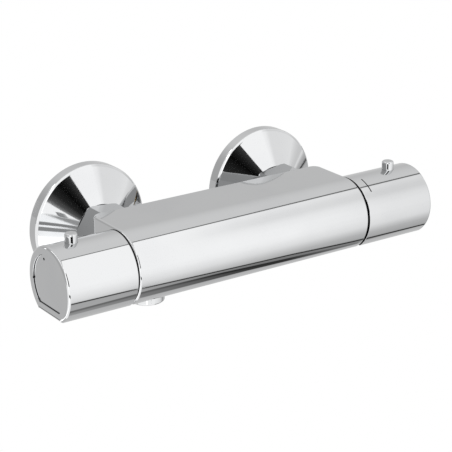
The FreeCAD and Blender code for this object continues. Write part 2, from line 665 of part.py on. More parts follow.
def union_nut(x, turn):
    """Hexagon union nut with an inner lip that draws the connector flange to the wall union."""
    z = NUT_AXIS_Z
    centre = Vector(x, -NUT_BACK, z)
    block = hexagon(NUT_ACROSS_FLATS, centre, turn, Vector(1, 0, 0), Vector(0, 0, 1))
    block = block.extrude(Vector(0, NUT_BACK - NUT_FRONT, 0))
    turned = wall_cylinder(NUT_ACROSS_FLATS / math.sqrt(3.0), NUT_BACK, NUT_FRONT, x, z)
    rims = flat_edges(turned, 1, -NUT_BACK) + flat_edges(turned, 1, -NUT_FRONT)
    nut = block.common(turned.makeChamfer(NUT_CHAMFER, rims))
    lip = CONNECTOR_FLANGE_END + NUT_CLEARANCE
    nut = nut.cut(wall_cylinder(UNION_THREAD_RADIUS + NUT_CLEARANCE, NUT_BACK, lip, x, z))
    return nut.cut(wall_cylinder(CONNECTOR_RADIUS + NUT_CLEARANCE, lip, NUT_FRONT, x, z))


def inlet_connector(x):
    """Flanged connector screwed into the body; it holds the nut, strainer and check valve."""
    z = NUT_AXIS_Z
    flange_radius = UNION_THREAD_RADIUS - CONNECTOR_FLANGE_MARGIN
    connector = wall_cylinder(flange_radius, CONNECTOR_START, CONNECTOR_FLANGE_END, x, z)
    connector = connector.fuse(wall_cylinder(CONNECTOR_RADIUS, CONNECTOR_FLANGE_END, CONNECTOR_END, x, z))
    rim_seat = STRAINER_RIM_RADIUS + FIT_CLEARANCE
    return cut_all(connector, [
        wall_cylinder(rim_seat, CONNECTOR_START, CONNECTOR_START + STRAINER_RIM, x, z),
        wall_cylinder(CONNECTOR_BORE, CONNECTOR_START, CHECK_END, x, z),
        wall_cylinder(CONNECTOR_BORE - CONNECTOR_LIP_STEP, CHECK_END, CONNECTOR_END, x, z),
    ]).removeSplitter()


def strainer(x):
    """Dirt strainer: a slotted cup that hangs from a thin rim."""
    z = NUT_AXIS_Z
    rim_end = CONNECTOR_START + STRAINER_RIM
    cup_end = rim_end + STRAINER_LENGTH
    cup = wall_cylinder(STRAINER_RIM_RADIUS, CONNECTOR_START, rim_end, x, z)
    cup = cup.fuse(wall_cylinder(STRAINER_RADIUS, CONNECTOR_START, cup_end, x, z))
    hollow = STRAINER_RADIUS - STRAINER_WALL
    cup = cup.cut(wall_cylinder(hollow, CONNECTOR_START, cup_end - STRAINER_WALL, x, z))
    slot_start = rim_end + STRAINER_SLOT_MARGIN
    slot_end = cup_end - STRAINER_SLOT_MARGIN
    reach = STRAINER_RADIUS + OVERCUT
    slots = spokes(x, STRAINER_SLOT_WIDTH, slot_start, slot_end, reach, STRAINER_SLOTS)
    return cut_all(cup, slots).removeSplitter()


def check_housing(x):
    """Housing of the non-return valve: seat, tube, outer groove and a spoked guide."""
    z = NUT_AXIS_Z
    middle = (CHECK_START + CHECK_END) / 2.0
    groove = CHECK_RING_WIRE + RING_SIDE_GAP
    groove_floor = CHECK_RADIUS - 2.0 * CHECK_RING_WIRE
    guide_start = CHECK_END - CHECK_HUB_THICKNESS
    housing = cut_all(wall_cylinder(CHECK_RADIUS, CHECK_START, CHECK_END, x, z), [
        wall_cylinder(POPPET_RADIUS - POPPET_LAP, CHECK_START, CHECK_SEAT_FACE, x, z),
        wall_cylinder(CHECK_BORE, CHECK_SEAT_FACE, CHECK_END, x, z),
        wall_ring(CHECK_RADIUS + OVERCUT, groove_floor, middle - groove, middle + groove, x, z),
    ])
    guide = wall_cylinder(CHECK_HUB_RADIUS, guide_start, CHECK_END, x, z)
    reach = CHECK_BORE + CHECK_WALL / 2.0
    for spoke in spokes(x, CHECK_SPOKE, guide_start, CHECK_END, reach, CHECK_SPOKES):
        guide = guide.fuse(spoke)
    hole = wall_cylinder(POPPET_STEM + POPPET_CLEARANCE, guide_start, CHECK_END, x, z)
    return housing.fuse(guide).cut(hole).removeSplitter()


def check_seal(x):
    """Sealing ring in the outer groove of the non-return valve."""
    middle = Vector(x, -(CHECK_START + CHECK_END) / 2.0, NUT_AXIS_Z)
    return Part.makeTorus(CHECK_RADIUS - CHECK_RING_WIRE, CHECK_RING_WIRE, middle, Vector(0, 1, 0))


def check_poppet(x):
    """Poppet of the non-return valve, closed against its seat."""
    z = NUT_AXIS_Z
    poppet = wall_cylinder(POPPET_RADIUS, CHECK_SEAT_FACE, POPPET_BACK, x, z)
    return poppet.fuse(wall_cylinder(POPPET_STEM, POPPET_BACK, CHECK_END, x, z))


def check_spring(x):
    """Closing spring between the poppet and the guide hub."""
    hub = Vector(x, SPRING_SEAT_GAP + CHECK_HUB_THICKNESS - CHECK_END, NUT_AXIS_Z)
    disc = Vector(x, -POPPET_BACK - SPRING_SEAT_GAP, NUT_AXIS_Z)
    return coil(CHECK_SPRING_RADIUS, CHECK_SPRING_WIRE, CHECK_SPRING_TURNS, hub, disc)


def rosette(x):
    """Wall rosette: a straight rim, a cone and a web that seats round the union thread."""
    shoulder = ROSETTE_RADIUS - ROSETTE_STEP
    slope = (ROSETTE_FRONT - ROSETTE_RIM) / (shoulder - ROSETTE_NECK)
    inner_drop = ROSETTE_WALL * math.sqrt(1.0 + slope ** 2)
    web_back = ROSETTE_FRONT - ROSETTE_WALL
    web_edge = ROSETTE_NECK - (inner_drop - ROSETTE_WALL) / slope
    hole = UNION_THREAD_RADIUS + FIT_CLEARANCE
    cavity = ROSETTE_RADIUS - ROSETTE_WALL
    profile = [
        (ROSETTE_RADIUS, 0.0), (ROSETTE_RADIUS, ROSETTE_RIM - ROSETTE_STEP), (shoulder, ROSETTE_RIM),
        (ROSETTE_NECK, ROSETTE_FRONT), (hole, ROSETTE_FRONT), (hole, web_back), (web_edge, web_back),
        (cavity, ROSETTE_RIM - inner_drop + (shoulder - cavity) * slope), (cavity, 0.0),
    ]
    points = [Vector(x + radius, -out, NUT_AXIS_Z) for radius, out in profile]
    section = Part.Face(Part.makePolygon(points + [points[0]]))
    shell = section.revolve(Vector(x, 0, NUT_AXIS_Z), Vector(0, 1, 0), FULL_TURN)
    rings = flat_edges(shell, 1, -ROSETTE_RIM) + flat_edges(shell, 1, ROSETTE_STEP - ROSETTE_RIM)
    return shell.makeFillet(ROSETTE_ROUND, rings)


def wall_seal(x):
    """Foam ring inside the rim, between the rosette and the wall."""
    outer = ROSETTE_RADIUS - ROSETTE_WALL - WALL_SEAL_GAP
    return wall_ring(outer, outer - WALL_SEAL_WIDTH, 0.0, WALL_SEAL_THICKNESS, x, NUT_AXIS_Z)


# ---- cartridges, shared upper part ----------------------------------------------------

def bonnet(start):
    """Outer form of a cartridge: wide part in the body, slim bonnet through the nut."""
    wide = bar_cylinder(HOUSING_RADIUS, start, SHOULDER)
    slim = bar_cylinder(BONNET_RADIUS, SHOULDER, BONNET_END)
    return cut_all(wide.fuse(slim), [
        bar_cylinder(SPINDLE_BORE, BORE_START, BONNET_END),
        bar_cylinder(CHAMBER_RADIUS, CHAMBER_START, BORE_START),
    ])


def water_groove(start, end):
    """Wide groove that leads water round a cartridge."""
    return bar_ring(CARTRIDGE_RADIUS + OVERCUT, HOUSING_RADIUS - GROOVE_DEPTH, start, end)


def seal_groove(place):
    """Groove for a sealing ring on the outside of a cartridge."""
    half = RING_WIRE + RING_SIDE_GAP
    return bar_ring(CARTRIDGE_RADIUS + OVERCUT, HOUSING_RADIUS - 2.0 * RING_WIRE, place - half, place + half)


def seal_ring(place):
    """Sealing ring between a cartridge and the body."""
    middle = (CARTRIDGE_RADIUS + HOUSING_RADIUS) / 2.0 - RING_WIRE
    return bar_torus(middle, RING_WIRE - RING_SQUEEZE_GAP, place)


def slots(start, end):
    """Slots through a cartridge wall, evenly spaced."""
    cutters = []
    for step in range(SLOT_COUNT):
        cutter = bar_box(start, end, -SLOT_WIDTH / 2.0, SLOT_WIDTH / 2.0, 0.0, CARTRIDGE_RADIUS + OVERCUT)
        cutters.append(bar_turn(cutter, FULL_TURN / SLOT_COUNT * step))
    return cutters


def cartridge_nut():
    """Screwed ring that holds a cartridge in the body, with two spanner slots."""
    inner = BONNET_RADIUS + FIT_CLEARANCE
    nut = bar_ring(HOUSING_RADIUS, inner, SHOULDER, CARTRIDGE_NUT_END)
    half = SPANNER_SLOT_WIDTH / 2.0
    slot_start = CARTRIDGE_NUT_END - SPANNER_SLOT_DEPTH
    return nut.cut(bar_box(slot_start, FAR, -CARTRIDGE_RADIUS, CARTRIDGE_RADIUS, -half, half))


def glide_ring():
    """Plastic ring on the neck that the handle turns on."""
    start = BODY_HALF + GLIDE_OFFSET
    outer = HANDLE_CAVITY - BUTTON_CLEARANCE
    return bar_ring(outer, NECK_RADIUS + FIT_CLEARANCE, start, start + GLIDE_WIDTH)


def spline(core, radius, tooth, start, end):
    """Round core with straight teeth round it."""
    half = tooth / 2.0
    bar = bar_cylinder(core, start, end)
    for step in range(SPLINE_TEETH):
        ridge = bar_box(start, end, -half, half, 0.0, radius + OVERCUT)
        bar = bar.fuse(bar_turn(ridge, FULL_TURN / SPLINE_TEETH * step))
    return bar.common(bar_cylinder(radius, start, end)).removeSplitter()


def spindle_ring_places():
    """Where the two sealing rings sit on a spindle."""
    return [BORE_START + step for step in SPINDLE_RING_STEPS]


def spindle_upper(lower_end):
    """Spindle from its inner end to the spline, with collar, ring grooves and screw hole."""
    spindle = bar_cylinder(SPINDLE_RADIUS, lower_end, SPLINE_START)
    collar_radius = SPINDLE_RADIUS + SPINDLE_COLLAR
    spindle = spindle.fuse(bar_cylinder(collar_radius, SPINDLE_COLLAR_START, SPINDLE_COLLAR_END))
    spindle = spindle.fuse(spline(SPLINE_CORE, SPLINE_RADIUS, SPLINE_TOOTH, SPLINE_START, SPLINE_END))
    half = RING_WIRE + RING_SIDE_GAP
    floor = SPINDLE_BORE - 2.0 * RING_WIRE
    for place in spindle_ring_places():
        spindle = spindle.cut(bar_ring(SPINDLE_RADIUS + OVERCUT, floor, place - half, place + half))
    return spindle.cut(bar_cylinder(SCREW_RADIUS + FIT_CLEARANCE, SPLINE_END - SCREW_DEPTH, SPLINE_END))


def spindle_rings():
    """Two sealing rings between spindle and bonnet."""
    middle = SPINDLE_BORE - RING_WIRE
    return [bar_torus(middle, RING_WIRE - RING_SQUEEZE_GAP, place) for place in spindle_ring_places()]


def stop_ring(low, high):
    """Ring on the bonnet; its tab ends the travel of the handle's lug."""
    start = CARTRIDGE_NUT_END + STOP_RING_GAP
    end = start + STOP_RING_WIDTH
    ring = bar_ring(STOP_RING_RADIUS, BONNET_RADIUS + FIT_CLEARANCE, start, end)
    blocked = FULL_TURN - (high - low) - LUG_ANGLE - 2.0 * STOP_MARGIN
    opposite = LUG_REST_ANGLE + (low + high) / 2.0 + FULL_TURN / 2.0
    root = STOP_RING_RADIUS - STOP_RING_WALL / 2.0
    tab = sector(root, LUG_OUTER, start + STOP_TAB_STEP, end, opposite, blocked)
    return ring.fuse(tab).removeSplitter()


def carrier(handle_end, button_place):
    """Plastic carrier: keyed web, splined hub, stop lug and seat for the button spring."""
    hub_end = handle_end - HANDLE_END_WALL - CARRIER_HUB_GAP
    piece = bar_cylinder(HANDLE_CAVITY - CARRIER_CLEARANCE, CARRIER_START, CARRIER_FACE)
    half = RIB_WIDTH / 2.0 + CARRIER_CLEARANCE
    notch_floor = HANDLE_CAVITY - RIB_HEIGHT - CARRIER_CLEARANCE
    for angle in RIB_ANGLES:
        notch = bar_box(CARRIER_START, CARRIER_FACE, -half, half, notch_floor, HANDLE_CAVITY + OVERCUT)
        piece = piece.cut(bar_turn(notch, angle))
    piece = piece.fuse(bar_cylinder(CARRIER_HUB_RADIUS, CARRIER_FACE, hub_end))
    lug_start = CARRIER_START - LUG_LENGTH
    lug_root = CARRIER_START + OVERCUT
    piece = piece.fuse(sector(LUG_INNER, LUG_OUTER, lug_start, lug_root, LUG_REST_ANGLE, LUG_ANGLE))
    core = SPLINE_CORE + SPLINE_CLEARANCE
    tip = SPLINE_RADIUS + SPLINE_CLEARANCE
    tooth = SPLINE_TOOTH + 2.0 * SPLINE_CLEARANCE
    return cut_all(piece, [
        spline(core, tip, tooth, CARRIER_START, SPLINE_END),
        bar_cylinder(SCREW_RADIUS + SCREW_HOLE_CLEARANCE, SPLINE_END, SCREW_SEAT),
        bar_cylinder(SCREW_OPENING, SCREW_SEAT, hub_end),
        upright_cylinder(POCKET_RADIUS, POCKET_FLOOR, FAR, button_place),
    ]).removeSplitter()


def carrier_screw():
    """Hexagon-socket screw that holds a carrier on its spindle."""
    head_end = SCREW_SEAT + SCREW_HEAD_HEIGHT
    tip = SPLINE_END - SCREW_DEPTH + SCREW_END_GAP
    screw = bar_cylinder(SCREW_HEAD_RADIUS, SCREW_SEAT, head_end)
    screw = screw.fuse(bar_cylinder(SCREW_RADIUS, tip, SCREW_SEAT))
    centre = Vector(head_end, BAR_Y, BAR_Z)
    socket = hexagon(SCREW_SOCKET_WIDTH, centre, 0.0, Vector(0, 1, 0), Vector(0, 0, 1))
    return screw.cut(socket.extrude(Vector(-SCREW_SOCKET_DEPTH, 0, 0)))


# ---- handles ------------------------------------------------------------------------

def flat_bar(radius, flat, start, end):
    """Round bar with a flat underside."""
    bar = bar_cylinder(radius, start, end)
    return bar.cut(bar_box(start, end, -radius, radius, -radius - OVERCUT, -flat))


def handle_shell(handle_end, button_place):
    """Handle shell: flat-bottomed bar with a round hollow, end wall, cap seat and button hole."""
    shell = flat_bar(HANDLE_RADIUS, FLAT_DROP, HANDLE_START, handle_end)
    shell = shell.makeFillet(EDGE_ROUND, long_edges(shell, 0, handle_end - HANDLE_START))
    shell = shell.makeFillet(HANDLE_END_ROUND, flat_edges(shell, 0, handle_end))
    shell = shell.makeFillet(HANDLE_JOINT_ROUND, flat_edges(shell, 0, HANDLE_START))
    hollow_end = handle_end - HANDLE_END_WALL
    shell = shell.cut(bar_cylinder(HANDLE_CAVITY, HANDLE_START, hollow_end))
    half = RIB_WIDTH / 2.0
    rib_crest = HANDLE_CAVITY - RIB_HEIGHT
    for angle in RIB_ANGLES:
        rib = bar_box(CARRIER_START, hollow_end, -half, half, rib_crest, HANDLE_CAVITY + OVERCUT)
        shell = shell.fuse(bar_turn(rib, angle))
    cap_seat = handle_end - CAP_RECESS - CAP_THICKNESS
    return cut_all(shell, [
        flat_bar(HANDLE_RADIUS - CAP_INSET, FLAT_DROP - CAP_INSET, cap_seat, handle_end),
        bar_cylinder(DRIVER_HOLE, hollow_end, handle_end),
        upright_cylinder(BUTTON_RADIUS + BUTTON_CLEARANCE, 0.0, FAR, button_place),
    ]).removeSplitter()


def index_mark():
    """Cutter for the short index line round the front of the temperature handle."""
    start = HANDLE_START + MARK_FROM_JOINT
    floor = HANDLE_RADIUS - MARK_DEPTH
    middle = (MARK_START_ANGLE + MARK_END_ANGLE) / 2.0
    width = MARK_END_ANGLE - MARK_START_ANGLE
    return sector(floor, HANDLE_RADIUS + OVERCUT, start, start + MARK_WIDTH, middle, width)


def end_cap(handle_end):
    """Inset plate that closes a handle."""
    front = handle_end - CAP_RECESS
    back = front - CAP_THICKNESS
    radius = HANDLE_RADIUS - CAP_INSET - FIT_CLEARANCE
    flat = FLAT_DROP - CAP_INSET - FIT_CLEARANCE
    plate = flat_bar(radius, flat, back, front)
    hole = bar_cylinder(CAP_HOLE_RADIUS, back, front, 0.0, radius - CAP_HOLE_EDGE)
    return plate.cut(bar_turn(hole, CAP_HOLE_ANGLE))


def stop_button(button_place):
    """Round push button with a collar inside the handle and a stem for its spring."""
    top = HANDLE_RADIUS + BUTTON_HEIGHT
    stem_low = POCKET_FLOOR + BUTTON_STEM_GAP + BUTTON_TRAVEL
    collar_radius = BUTTON_RADIUS + BUTTON_COLLAR
    button = upright_cylinder(BUTTON_RADIUS, BUTTON_COLLAR_LOW, top, button_place)
    button = button.makeFillet(BUTTON_ROUND, flat_edges(button, 2, BAR_Z + top))
    button = button.fuse(upright_cylinder(collar_radius, BUTTON_COLLAR_LOW, BUTTON_COLLAR_TOP, button_place))
    button = button.fuse(upright_cylinder(BUTTON_STEM_RADIUS, stem_low, BUTTON_COLLAR_LOW, button_place))
    return button.removeSplitter()


def button_spring(button_place):
    """Return spring between the carrier pocket and the button collar."""
    pocket = Vector(button_place, BAR_Y, BAR_Z + POCKET_FLOOR + SPRING_SEAT_GAP)
    collar = Vector(button_place, BAR_Y, BAR_Z + BUTTON_COLLAR_LOW - SPRING_SEAT_GAP)
    return coil(BUTTON_SPRING_RADIUS, BUTTON_SPRING_WIRE, BUTTON_SPRING_TURNS, pocket, collar)


# ---- flow cartridge -----------------------------------------------------------------

def flow_housing():
    """Housing of the ceramic disc cartridge."""
    half = DISC_KEY_WIDTH / 2.0 + FIT_CLEARANCE
    reach = DISC_KEY_RADIUS + FIT_CLEARANCE
    cutters = [
        bar_cylinder(DISC_CHAMBER, FLOW_CARTRIDGE_START, CHAMBER_START),
        bar_box(FLOW_CARTRIDGE_START, DISC_FACE, -half, half, -reach, reach),
        water_groove(WINDOW_START - GROOVE_MARGIN, WINDOW_END + GROOVE_MARGIN),
    ]
    cutters += slots(WINDOW_START, WINDOW_END)
    cutters += [seal_groove(place) for place in flow_seal_places()]
    return cut_all(bonnet(FLOW_CARTRIDGE_START), cutters).removeSplitter()


def flow_seal_places():
    """Two outer sealing rings, one each side of the outlet groove."""
    return (DISC_FACE, (CHAMBER_START + SHOULDER) / 2.0)


def disc_ports(start, end, first_angle):
    """Two opposite ports through a ceramic disc."""
    ports = []
    for angle in (first_angle, first_angle + FULL_TURN / 2.0):
        ports.append(sector(DISC_PORT_INNER, DISC_PORT_OUTER, start, end, angle, DISC_PORT_ANGLE))
    return ports


def fixed_disc():
    """Ceramic disc that stands still, keyed in its housing, with ports at front and back."""
    half = DISC_KEY_WIDTH / 2.0
    disc = bar_cylinder(DISC_RADIUS, DISC_START, DISC_FACE)
    keys = bar_box(DISC_START, DISC_FACE, -half, half, -DISC_KEY_RADIUS, DISC_KEY_RADIUS)
    return cut_all(disc.fuse(keys).removeSplitter(), disc_ports(DISC_START, DISC_FACE, 90.0))


def rotating_disc():
    """Ceramic disc that turns with the spindle; closed at rest, open after a quarter turn."""
    start = DISC_FACE + DISC_GAP
    half_width = DRIVER_WIDTH / 2.0 + FIT_CLEARANCE
    half_length = DRIVER_REACH + FIT_CLEARANCE
    slot_floor = DISC_END - DRIVER_DEPTH
    slot = bar_box(slot_floor, DISC_END, -half_length, half_length, -half_width, half_width)
    return cut_all(bar_cylinder(DISC_RADIUS, start, DISC_END), disc_ports(start, DISC_END, 0.0) + [slot])


def disc_seal():
    """Rubber seal between the fixed disc and the floor of the body's bore."""
    return bar_ring(DISC_RADIUS, DISC_RADIUS - DISC_SEAL_WIDTH, FLOW_CARTRIDGE_START, DISC_START)


def flow_spindle():
    """Spindle with a cross driver that turns the ceramic disc."""
    driver_start = DISC_END - DRIVER_DEPTH + FIT_CLEARANCE
    driver_end = DISC_END + DRIVER_HEIGHT
    half = DRIVER_WIDTH / 2.0
    driver = bar_box(driver_start, driver_end, -DRIVER_REACH, DRIVER_REACH, -half, half)
    return spindle_upper(driver_end).fuse(driver).removeSplitter()


# ---- thermostat ---------------------------------------------------------------------

def thermostat_housing():
    """Housing of the thermostat with hot and cold grooves and shuttle chamber."""
    half = KEY_WIDTH / 2.0 + SHUTTLE_CLEARANCE
    key_top = CHAMBER_RADIUS + KEY_HEIGHT + SHUTTLE_CLEARANCE
    outflow_radius = MIXING_TUBE_RADIUS - OUTFLOW_STEP
    cutters = [
        bar_cylinder(outflow_radius, THERMOSTAT_START, THERMOSTAT_SEAT),
        bar_cylinder(MIXING_TUBE_RADIUS, THERMOSTAT_SEAT, SHUTTLE_CHAMBER_START),
        bar_cylinder(SHUTTLE_CHAMBER_RADIUS, SHUTTLE_CHAMBER_START, SHUTTLE_CHAMBER_END),
        bar_cylinder(COLD_CHAMBER_RADIUS, SHUTTLE_CHAMBER_END, CHAMBER_START),
        bar_box(CHAMBER_START, SLEEVE_END + SLEEVE_END_GAP, -half, half, 0.0, key_top),
        water_groove(HOT_GROOVE_START, HOT_GROOVE_END),
        water_groove(COLD_GROOVE_START, COLD_GROOVE_END),
    ]
    cutters += slots(SHUTTLE_CHAMBER_START, SHUTTLE_CHAMBER_START + SLOT_LENGTH)
    cutters += slots(SHUTTLE_CHAMBER_END - SLOT_LENGTH, SHUTTLE_CHAMBER_END)
    cutters += [seal_groove(place) for place in thermostat_seal_places()]
    return cut_all(bonnet(THERMOSTAT_START), cutters).removeSplitter()


def thermostat_seal_places():
    """Sealing rings in the middle of the lands beside the hot and cold grooves."""
    return (
        (THERMOSTAT_START + HOT_GROOVE_START) / 2.0,
        (HOT_GROOVE_END + COLD_GROOVE_START) / 2.0,
        (COLD_GROOVE_END + SHOULDER) / 2.0,
    )


def mixing_shuttle():
    """Sleeve that opens hot and closes cold, or the other way, with a web for the wax element."""
    start = SHUTTLE_CHAMBER_START + SHUTTLE_OPENING
    end = SHUTTLE_CHAMBER_END - SHUTTLE_OPENING
    outer = SHUTTLE_CHAMBER_RADIUS - SHUTTLE_CLEARANCE
    inner = outer - SHUTTLE_WALL
    web = bar_ring(outer, WAX_RADIUS + FIT_CLEARANCE, SHUTTLE_MIDDLE, SHUTTLE_WEB_END)
    hole_circle = inner - SHUTTLE_HOLE_EDGE - SHUTTLE_HOLE
    for step in range(SLOT_COUNT):
        hole = bar_cylinder(SHUTTLE_HOLE, SHUTTLE_MIDDLE, SHUTTLE_WEB_END, 0.0, hole_circle)
        web = web.cut(bar_turn(hole, FULL_TURN / SLOT_COUNT * step))
    return bar_ring(outer, inner, start, end).fuse(web).removeSplitter()


def wax_element():
    """Wax element with collar and push pin."""
    start = THERMOSTAT_SEAT + WAX_GAP
    collar_end = SHUTTLE_WEB_END + WAX_COLLAR_THICKNESS
    element = bar_cylinder(WAX_RADIUS, start, SHUTTLE_WEB_END)
    element = element.fuse(bar_cylinder(WAX_COLLAR_RADIUS, SHUTTLE_WEB_END, collar_end))
    return element.fuse(bar_cylinder(WAX_PIN_RADIUS, collar_end, PLUNGER_START)).removeSplitter()


def return_spring():
    """Spring that pushes the shuttle and wax element outwards."""
    radius = MIXING_TUBE_RADIUS - RETURN_SPRING_GAP - RETURN_SPRING_WIRE
    seat = Vector(THERMOSTAT_SEAT + SPRING_SEAT_GAP, BAR_Y, BAR_Z)
    web = Vector(SHUTTLE_MIDDLE - SPRING_SEAT_GAP, BAR_Y, BAR_Z)
    return coil(radius, RETURN_SPRING_WIRE, RETURN_SPRING_TURNS, seat, web)


def push_sleeve():
    """Keyed sleeve that the spindle's thread moves in and out; it pushes the wax element."""
    half = KEY_WIDTH / 2.0
    key_top = CHAMBER_RADIUS + KEY_HEIGHT
    sleeve = bar_cylinder(SLEEVE_RADIUS, SLEEVE_START, SLEEVE_END)
    sleeve = sleeve.fuse(bar_box(CHAMBER_START + KEY_SETBACK, SLEEVE_END, -half, half, 0.0, key_top))
    return cut_all(sleeve, [
        bar_cylinder(WAX_PIN_RADIUS + FIT_CLEARANCE, SLEEVE_START, PLUNGER_START),
        bar_cylinder(SLEEVE_CAVITY, PLUNGER_START, SLEEVE_LEDGE),
        bar_cylinder(SPINDLE_THREAD_RADIUS + SHUTTLE_CLEARANCE, SLEEVE_LEDGE, SLEEVE_END),
    ]).removeSplitter()


def overload_plunger():
    """Disc between the wax element's pin and the overload spring."""
    return bar_cylinder(SLEEVE_CAVITY - SHUTTLE_CLEARANCE, PLUNGER_START, PLUNGER_START + PLUNGER_THICKNESS)


def overload_spring():
    """Stiff spring that gives way when the wax element expands against a closed shuttle."""
    radius = SLEEVE_CAVITY - OVERLOAD_SPRING_GAP - OVERLOAD_SPRING_WIRE
    plunger = Vector(PLUNGER_START + PLUNGER_THICKNESS + SPRING_SEAT_GAP, BAR_Y, BAR_Z)
    ledge = Vector(SLEEVE_LEDGE - SPRING_SEAT_GAP, BAR_Y, BAR_Z)
    return coil(radius, OVERLOAD_SPRING_WIRE, OVERLOAD_SPRING_TURNS, plunger, ledge)


def temperature_spindle():
    """Spindle whose inner thread moves the push sleeve."""
    tip = SLEEVE_LEDGE + SPINDLE_THREAD_GAP
    thread = bar_cylinder(SPINDLE_THREAD_RADIUS, tip, SPINDLE_COLLAR_START)
    return spindle_upper(SPINDLE_COLLAR_START).fuse(thread).removeSplitter()


# ---- write the nodes ----------------------------------------------------------------

save("valve_body", valve_body())
save("outlet_bush", outlet_bush())
save("outlet_washer", outlet_washer())
save("outlet_seal", outlet_seal())

for water, inlet_x, nut_turn in (("hot", -INLET_X, HOT_NUT_TURN), ("cold", INLET_X, COLD_NUT_TURN)):
    save(water + "_wall_union", wall_union(inlet_x))
    save(water + "_rosette", rosette(inlet_x))
    save(water + "_union_nut", union_nut(inlet_x, nut_turn))
    save(water + "_inlet_connector", inlet_connector(inlet_x))
    save(water + "_strainer", strainer(inlet_x))
    save(water + "_check_housing", check_housing(inlet_x))
    save(water + "_check_poppet", check_poppet(inlet_x))
    save(water + "_check_spring", check_spring(inlet_x))
save("wall_seals", wall_seal(-INLET_X), wall_seal(INLET_X))
save("union_gaskets", union_gasket(-INLET_X), union_gasket(INLET_X))
save("check_seals", check_seal(-INLET_X), check_seal(INLET_X))

save("flow_handle", mirrored(handle_shell(FLOW_END, FLOW_BUTTON)))
save("flow_end_cap", mirrored(end_cap(FLOW_END)))
save("flow_button", mirrored(stop_button(FLOW_BUTTON)))
save("flow_button_spring", mirrored(button_spring(FLOW_BUTTON)))
save("flow_carrier", mirrored(carrier(FLOW_END, FLOW_BUTTON)))
save("flow_carrier_screw", mirrored(carrier_screw()))
save("flow_glide_ring", mirrored(glide_ring()))
save("flow_stop_ring", mirrored(stop_ring(*FLOW_RANGE)))
save("flow_cartridge_housing", mirrored(flow_housing()))
save("flow_cartridge_nut", mirrored(cartridge_nut()))
save("flow_spindle", mirrored(flow_spindle()))
save("fixed_disc", mirrored(fixed_disc()))
save("rotating_disc", mirrored(rotating_disc()))
save("disc_seal", mirrored(disc_seal()))
save("flow_cartridge_seals", *[mirrored(seal_ring(place)) for place in flow_seal_places()])
save("flow_spindle_seals", *[mirrored(ring) for ring in spindle_rings()])

save("temp_handle", handle_shell(TEMP_END, TEMP_BUTTON).cut(index_mark()))
save("temp_end_cap", end_cap(TEMP_END))
save("temp_button", stop_button(TEMP_BUTTON))
save("temp_button_spring", button_spring(TEMP_BUTTON))
save("temp_carrier", carrier(TEMP_END, TEMP_BUTTON))
save("temp_carrier_screw", carrier_screw())
save("temp_glide_ring", glide_ring())
save("temp_stop_ring", stop_ring(*TEMP_RANGE))
save("thermostat_housing", thermostat_housing())
save("thermostat_nut", cartridge_nut())
save("temp_spindle", temperature_spindle())
save("push_sleeve", push_sleeve())
save("overload_plunger", overload_plunger())
save("overload_spring", overload_spring())
save("wax_element", wax_element())
save("mixing_shuttle", mixing_shuttle())
save("return_spring", return_spring())
save("thermostat_seals", *[seal_ring(place) for place in thermostat_seal_places()])
save("temp_spindle_seals", *spindle_rings())
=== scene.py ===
"""Wall-mounted thermostatic shower valve: its chrome shells, its inner pieces and the studio round it.

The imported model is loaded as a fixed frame. The polished outer pieces are modelled here in place
of their plain solids, and every other node keeps its solid and gets the finish of its own stuff.
All lengths are in metres, X runs along the bar, Y into the wall and Z up.
"""

import json
import logging
import math
from dataclasses import dataclass
from enum import Enum
from typing import Callable, Dict, List, Optional, Sequence, Tuple, Union

import bmesh
import bpy
from mathutils import Matrix, Vector


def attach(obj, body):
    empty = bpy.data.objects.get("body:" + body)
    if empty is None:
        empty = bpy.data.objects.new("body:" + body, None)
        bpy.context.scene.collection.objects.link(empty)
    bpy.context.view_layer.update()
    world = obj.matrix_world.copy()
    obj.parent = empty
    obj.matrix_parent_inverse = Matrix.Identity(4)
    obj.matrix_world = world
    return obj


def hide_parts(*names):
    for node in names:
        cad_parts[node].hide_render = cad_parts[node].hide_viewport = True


logging.basicConfig(level=logging.INFO, format="%(name)s: %(message)s")
LOG = logging.getLogger("shower_valve")

MM = 0.001
NEAR = 2.0e-5
DOUBLES = 1.0e-6
ON_PLANE = 1.0e-7
LONG = 10.0 * MM
SHARP = math.radians(60.0)
CORNER = math.radians(50.0)
CREASE = math.radians(20.0)
ROUND_SEGMENTS = 256
BAR_SEGMENTS = 360
CONE_SEGMENTS = 320
RING_SEGMENTS = 192
BORE_SEGMENTS = 128
HOLE_SEGMENTS = 96
PIN_SEGMENTS = 48

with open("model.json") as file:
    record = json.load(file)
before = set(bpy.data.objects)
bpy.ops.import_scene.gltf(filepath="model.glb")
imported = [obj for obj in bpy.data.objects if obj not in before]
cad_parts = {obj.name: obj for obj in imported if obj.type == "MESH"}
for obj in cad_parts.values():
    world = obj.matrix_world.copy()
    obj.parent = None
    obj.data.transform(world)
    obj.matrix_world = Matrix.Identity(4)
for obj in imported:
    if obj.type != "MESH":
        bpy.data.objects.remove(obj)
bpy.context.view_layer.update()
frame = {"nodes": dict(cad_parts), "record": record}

Point = Tuple[float, float, float]
Pair = Tuple[float, float]
# What Graph.ramp takes after the value: input from and to, then output from and to if not 0 and 1.
Fade = Tuple[float, ...]
# What Graph.curve takes after the value: places and results, by rising place.
Stops = Tuple[Pair, ...]
# Whether a point or a direction passes.
Test = Callable[[Vector], bool]
Output = bpy.types.NodeSocket
Sockets = bpy.types.bpy_prop_collection
Value = Union[Output, float]


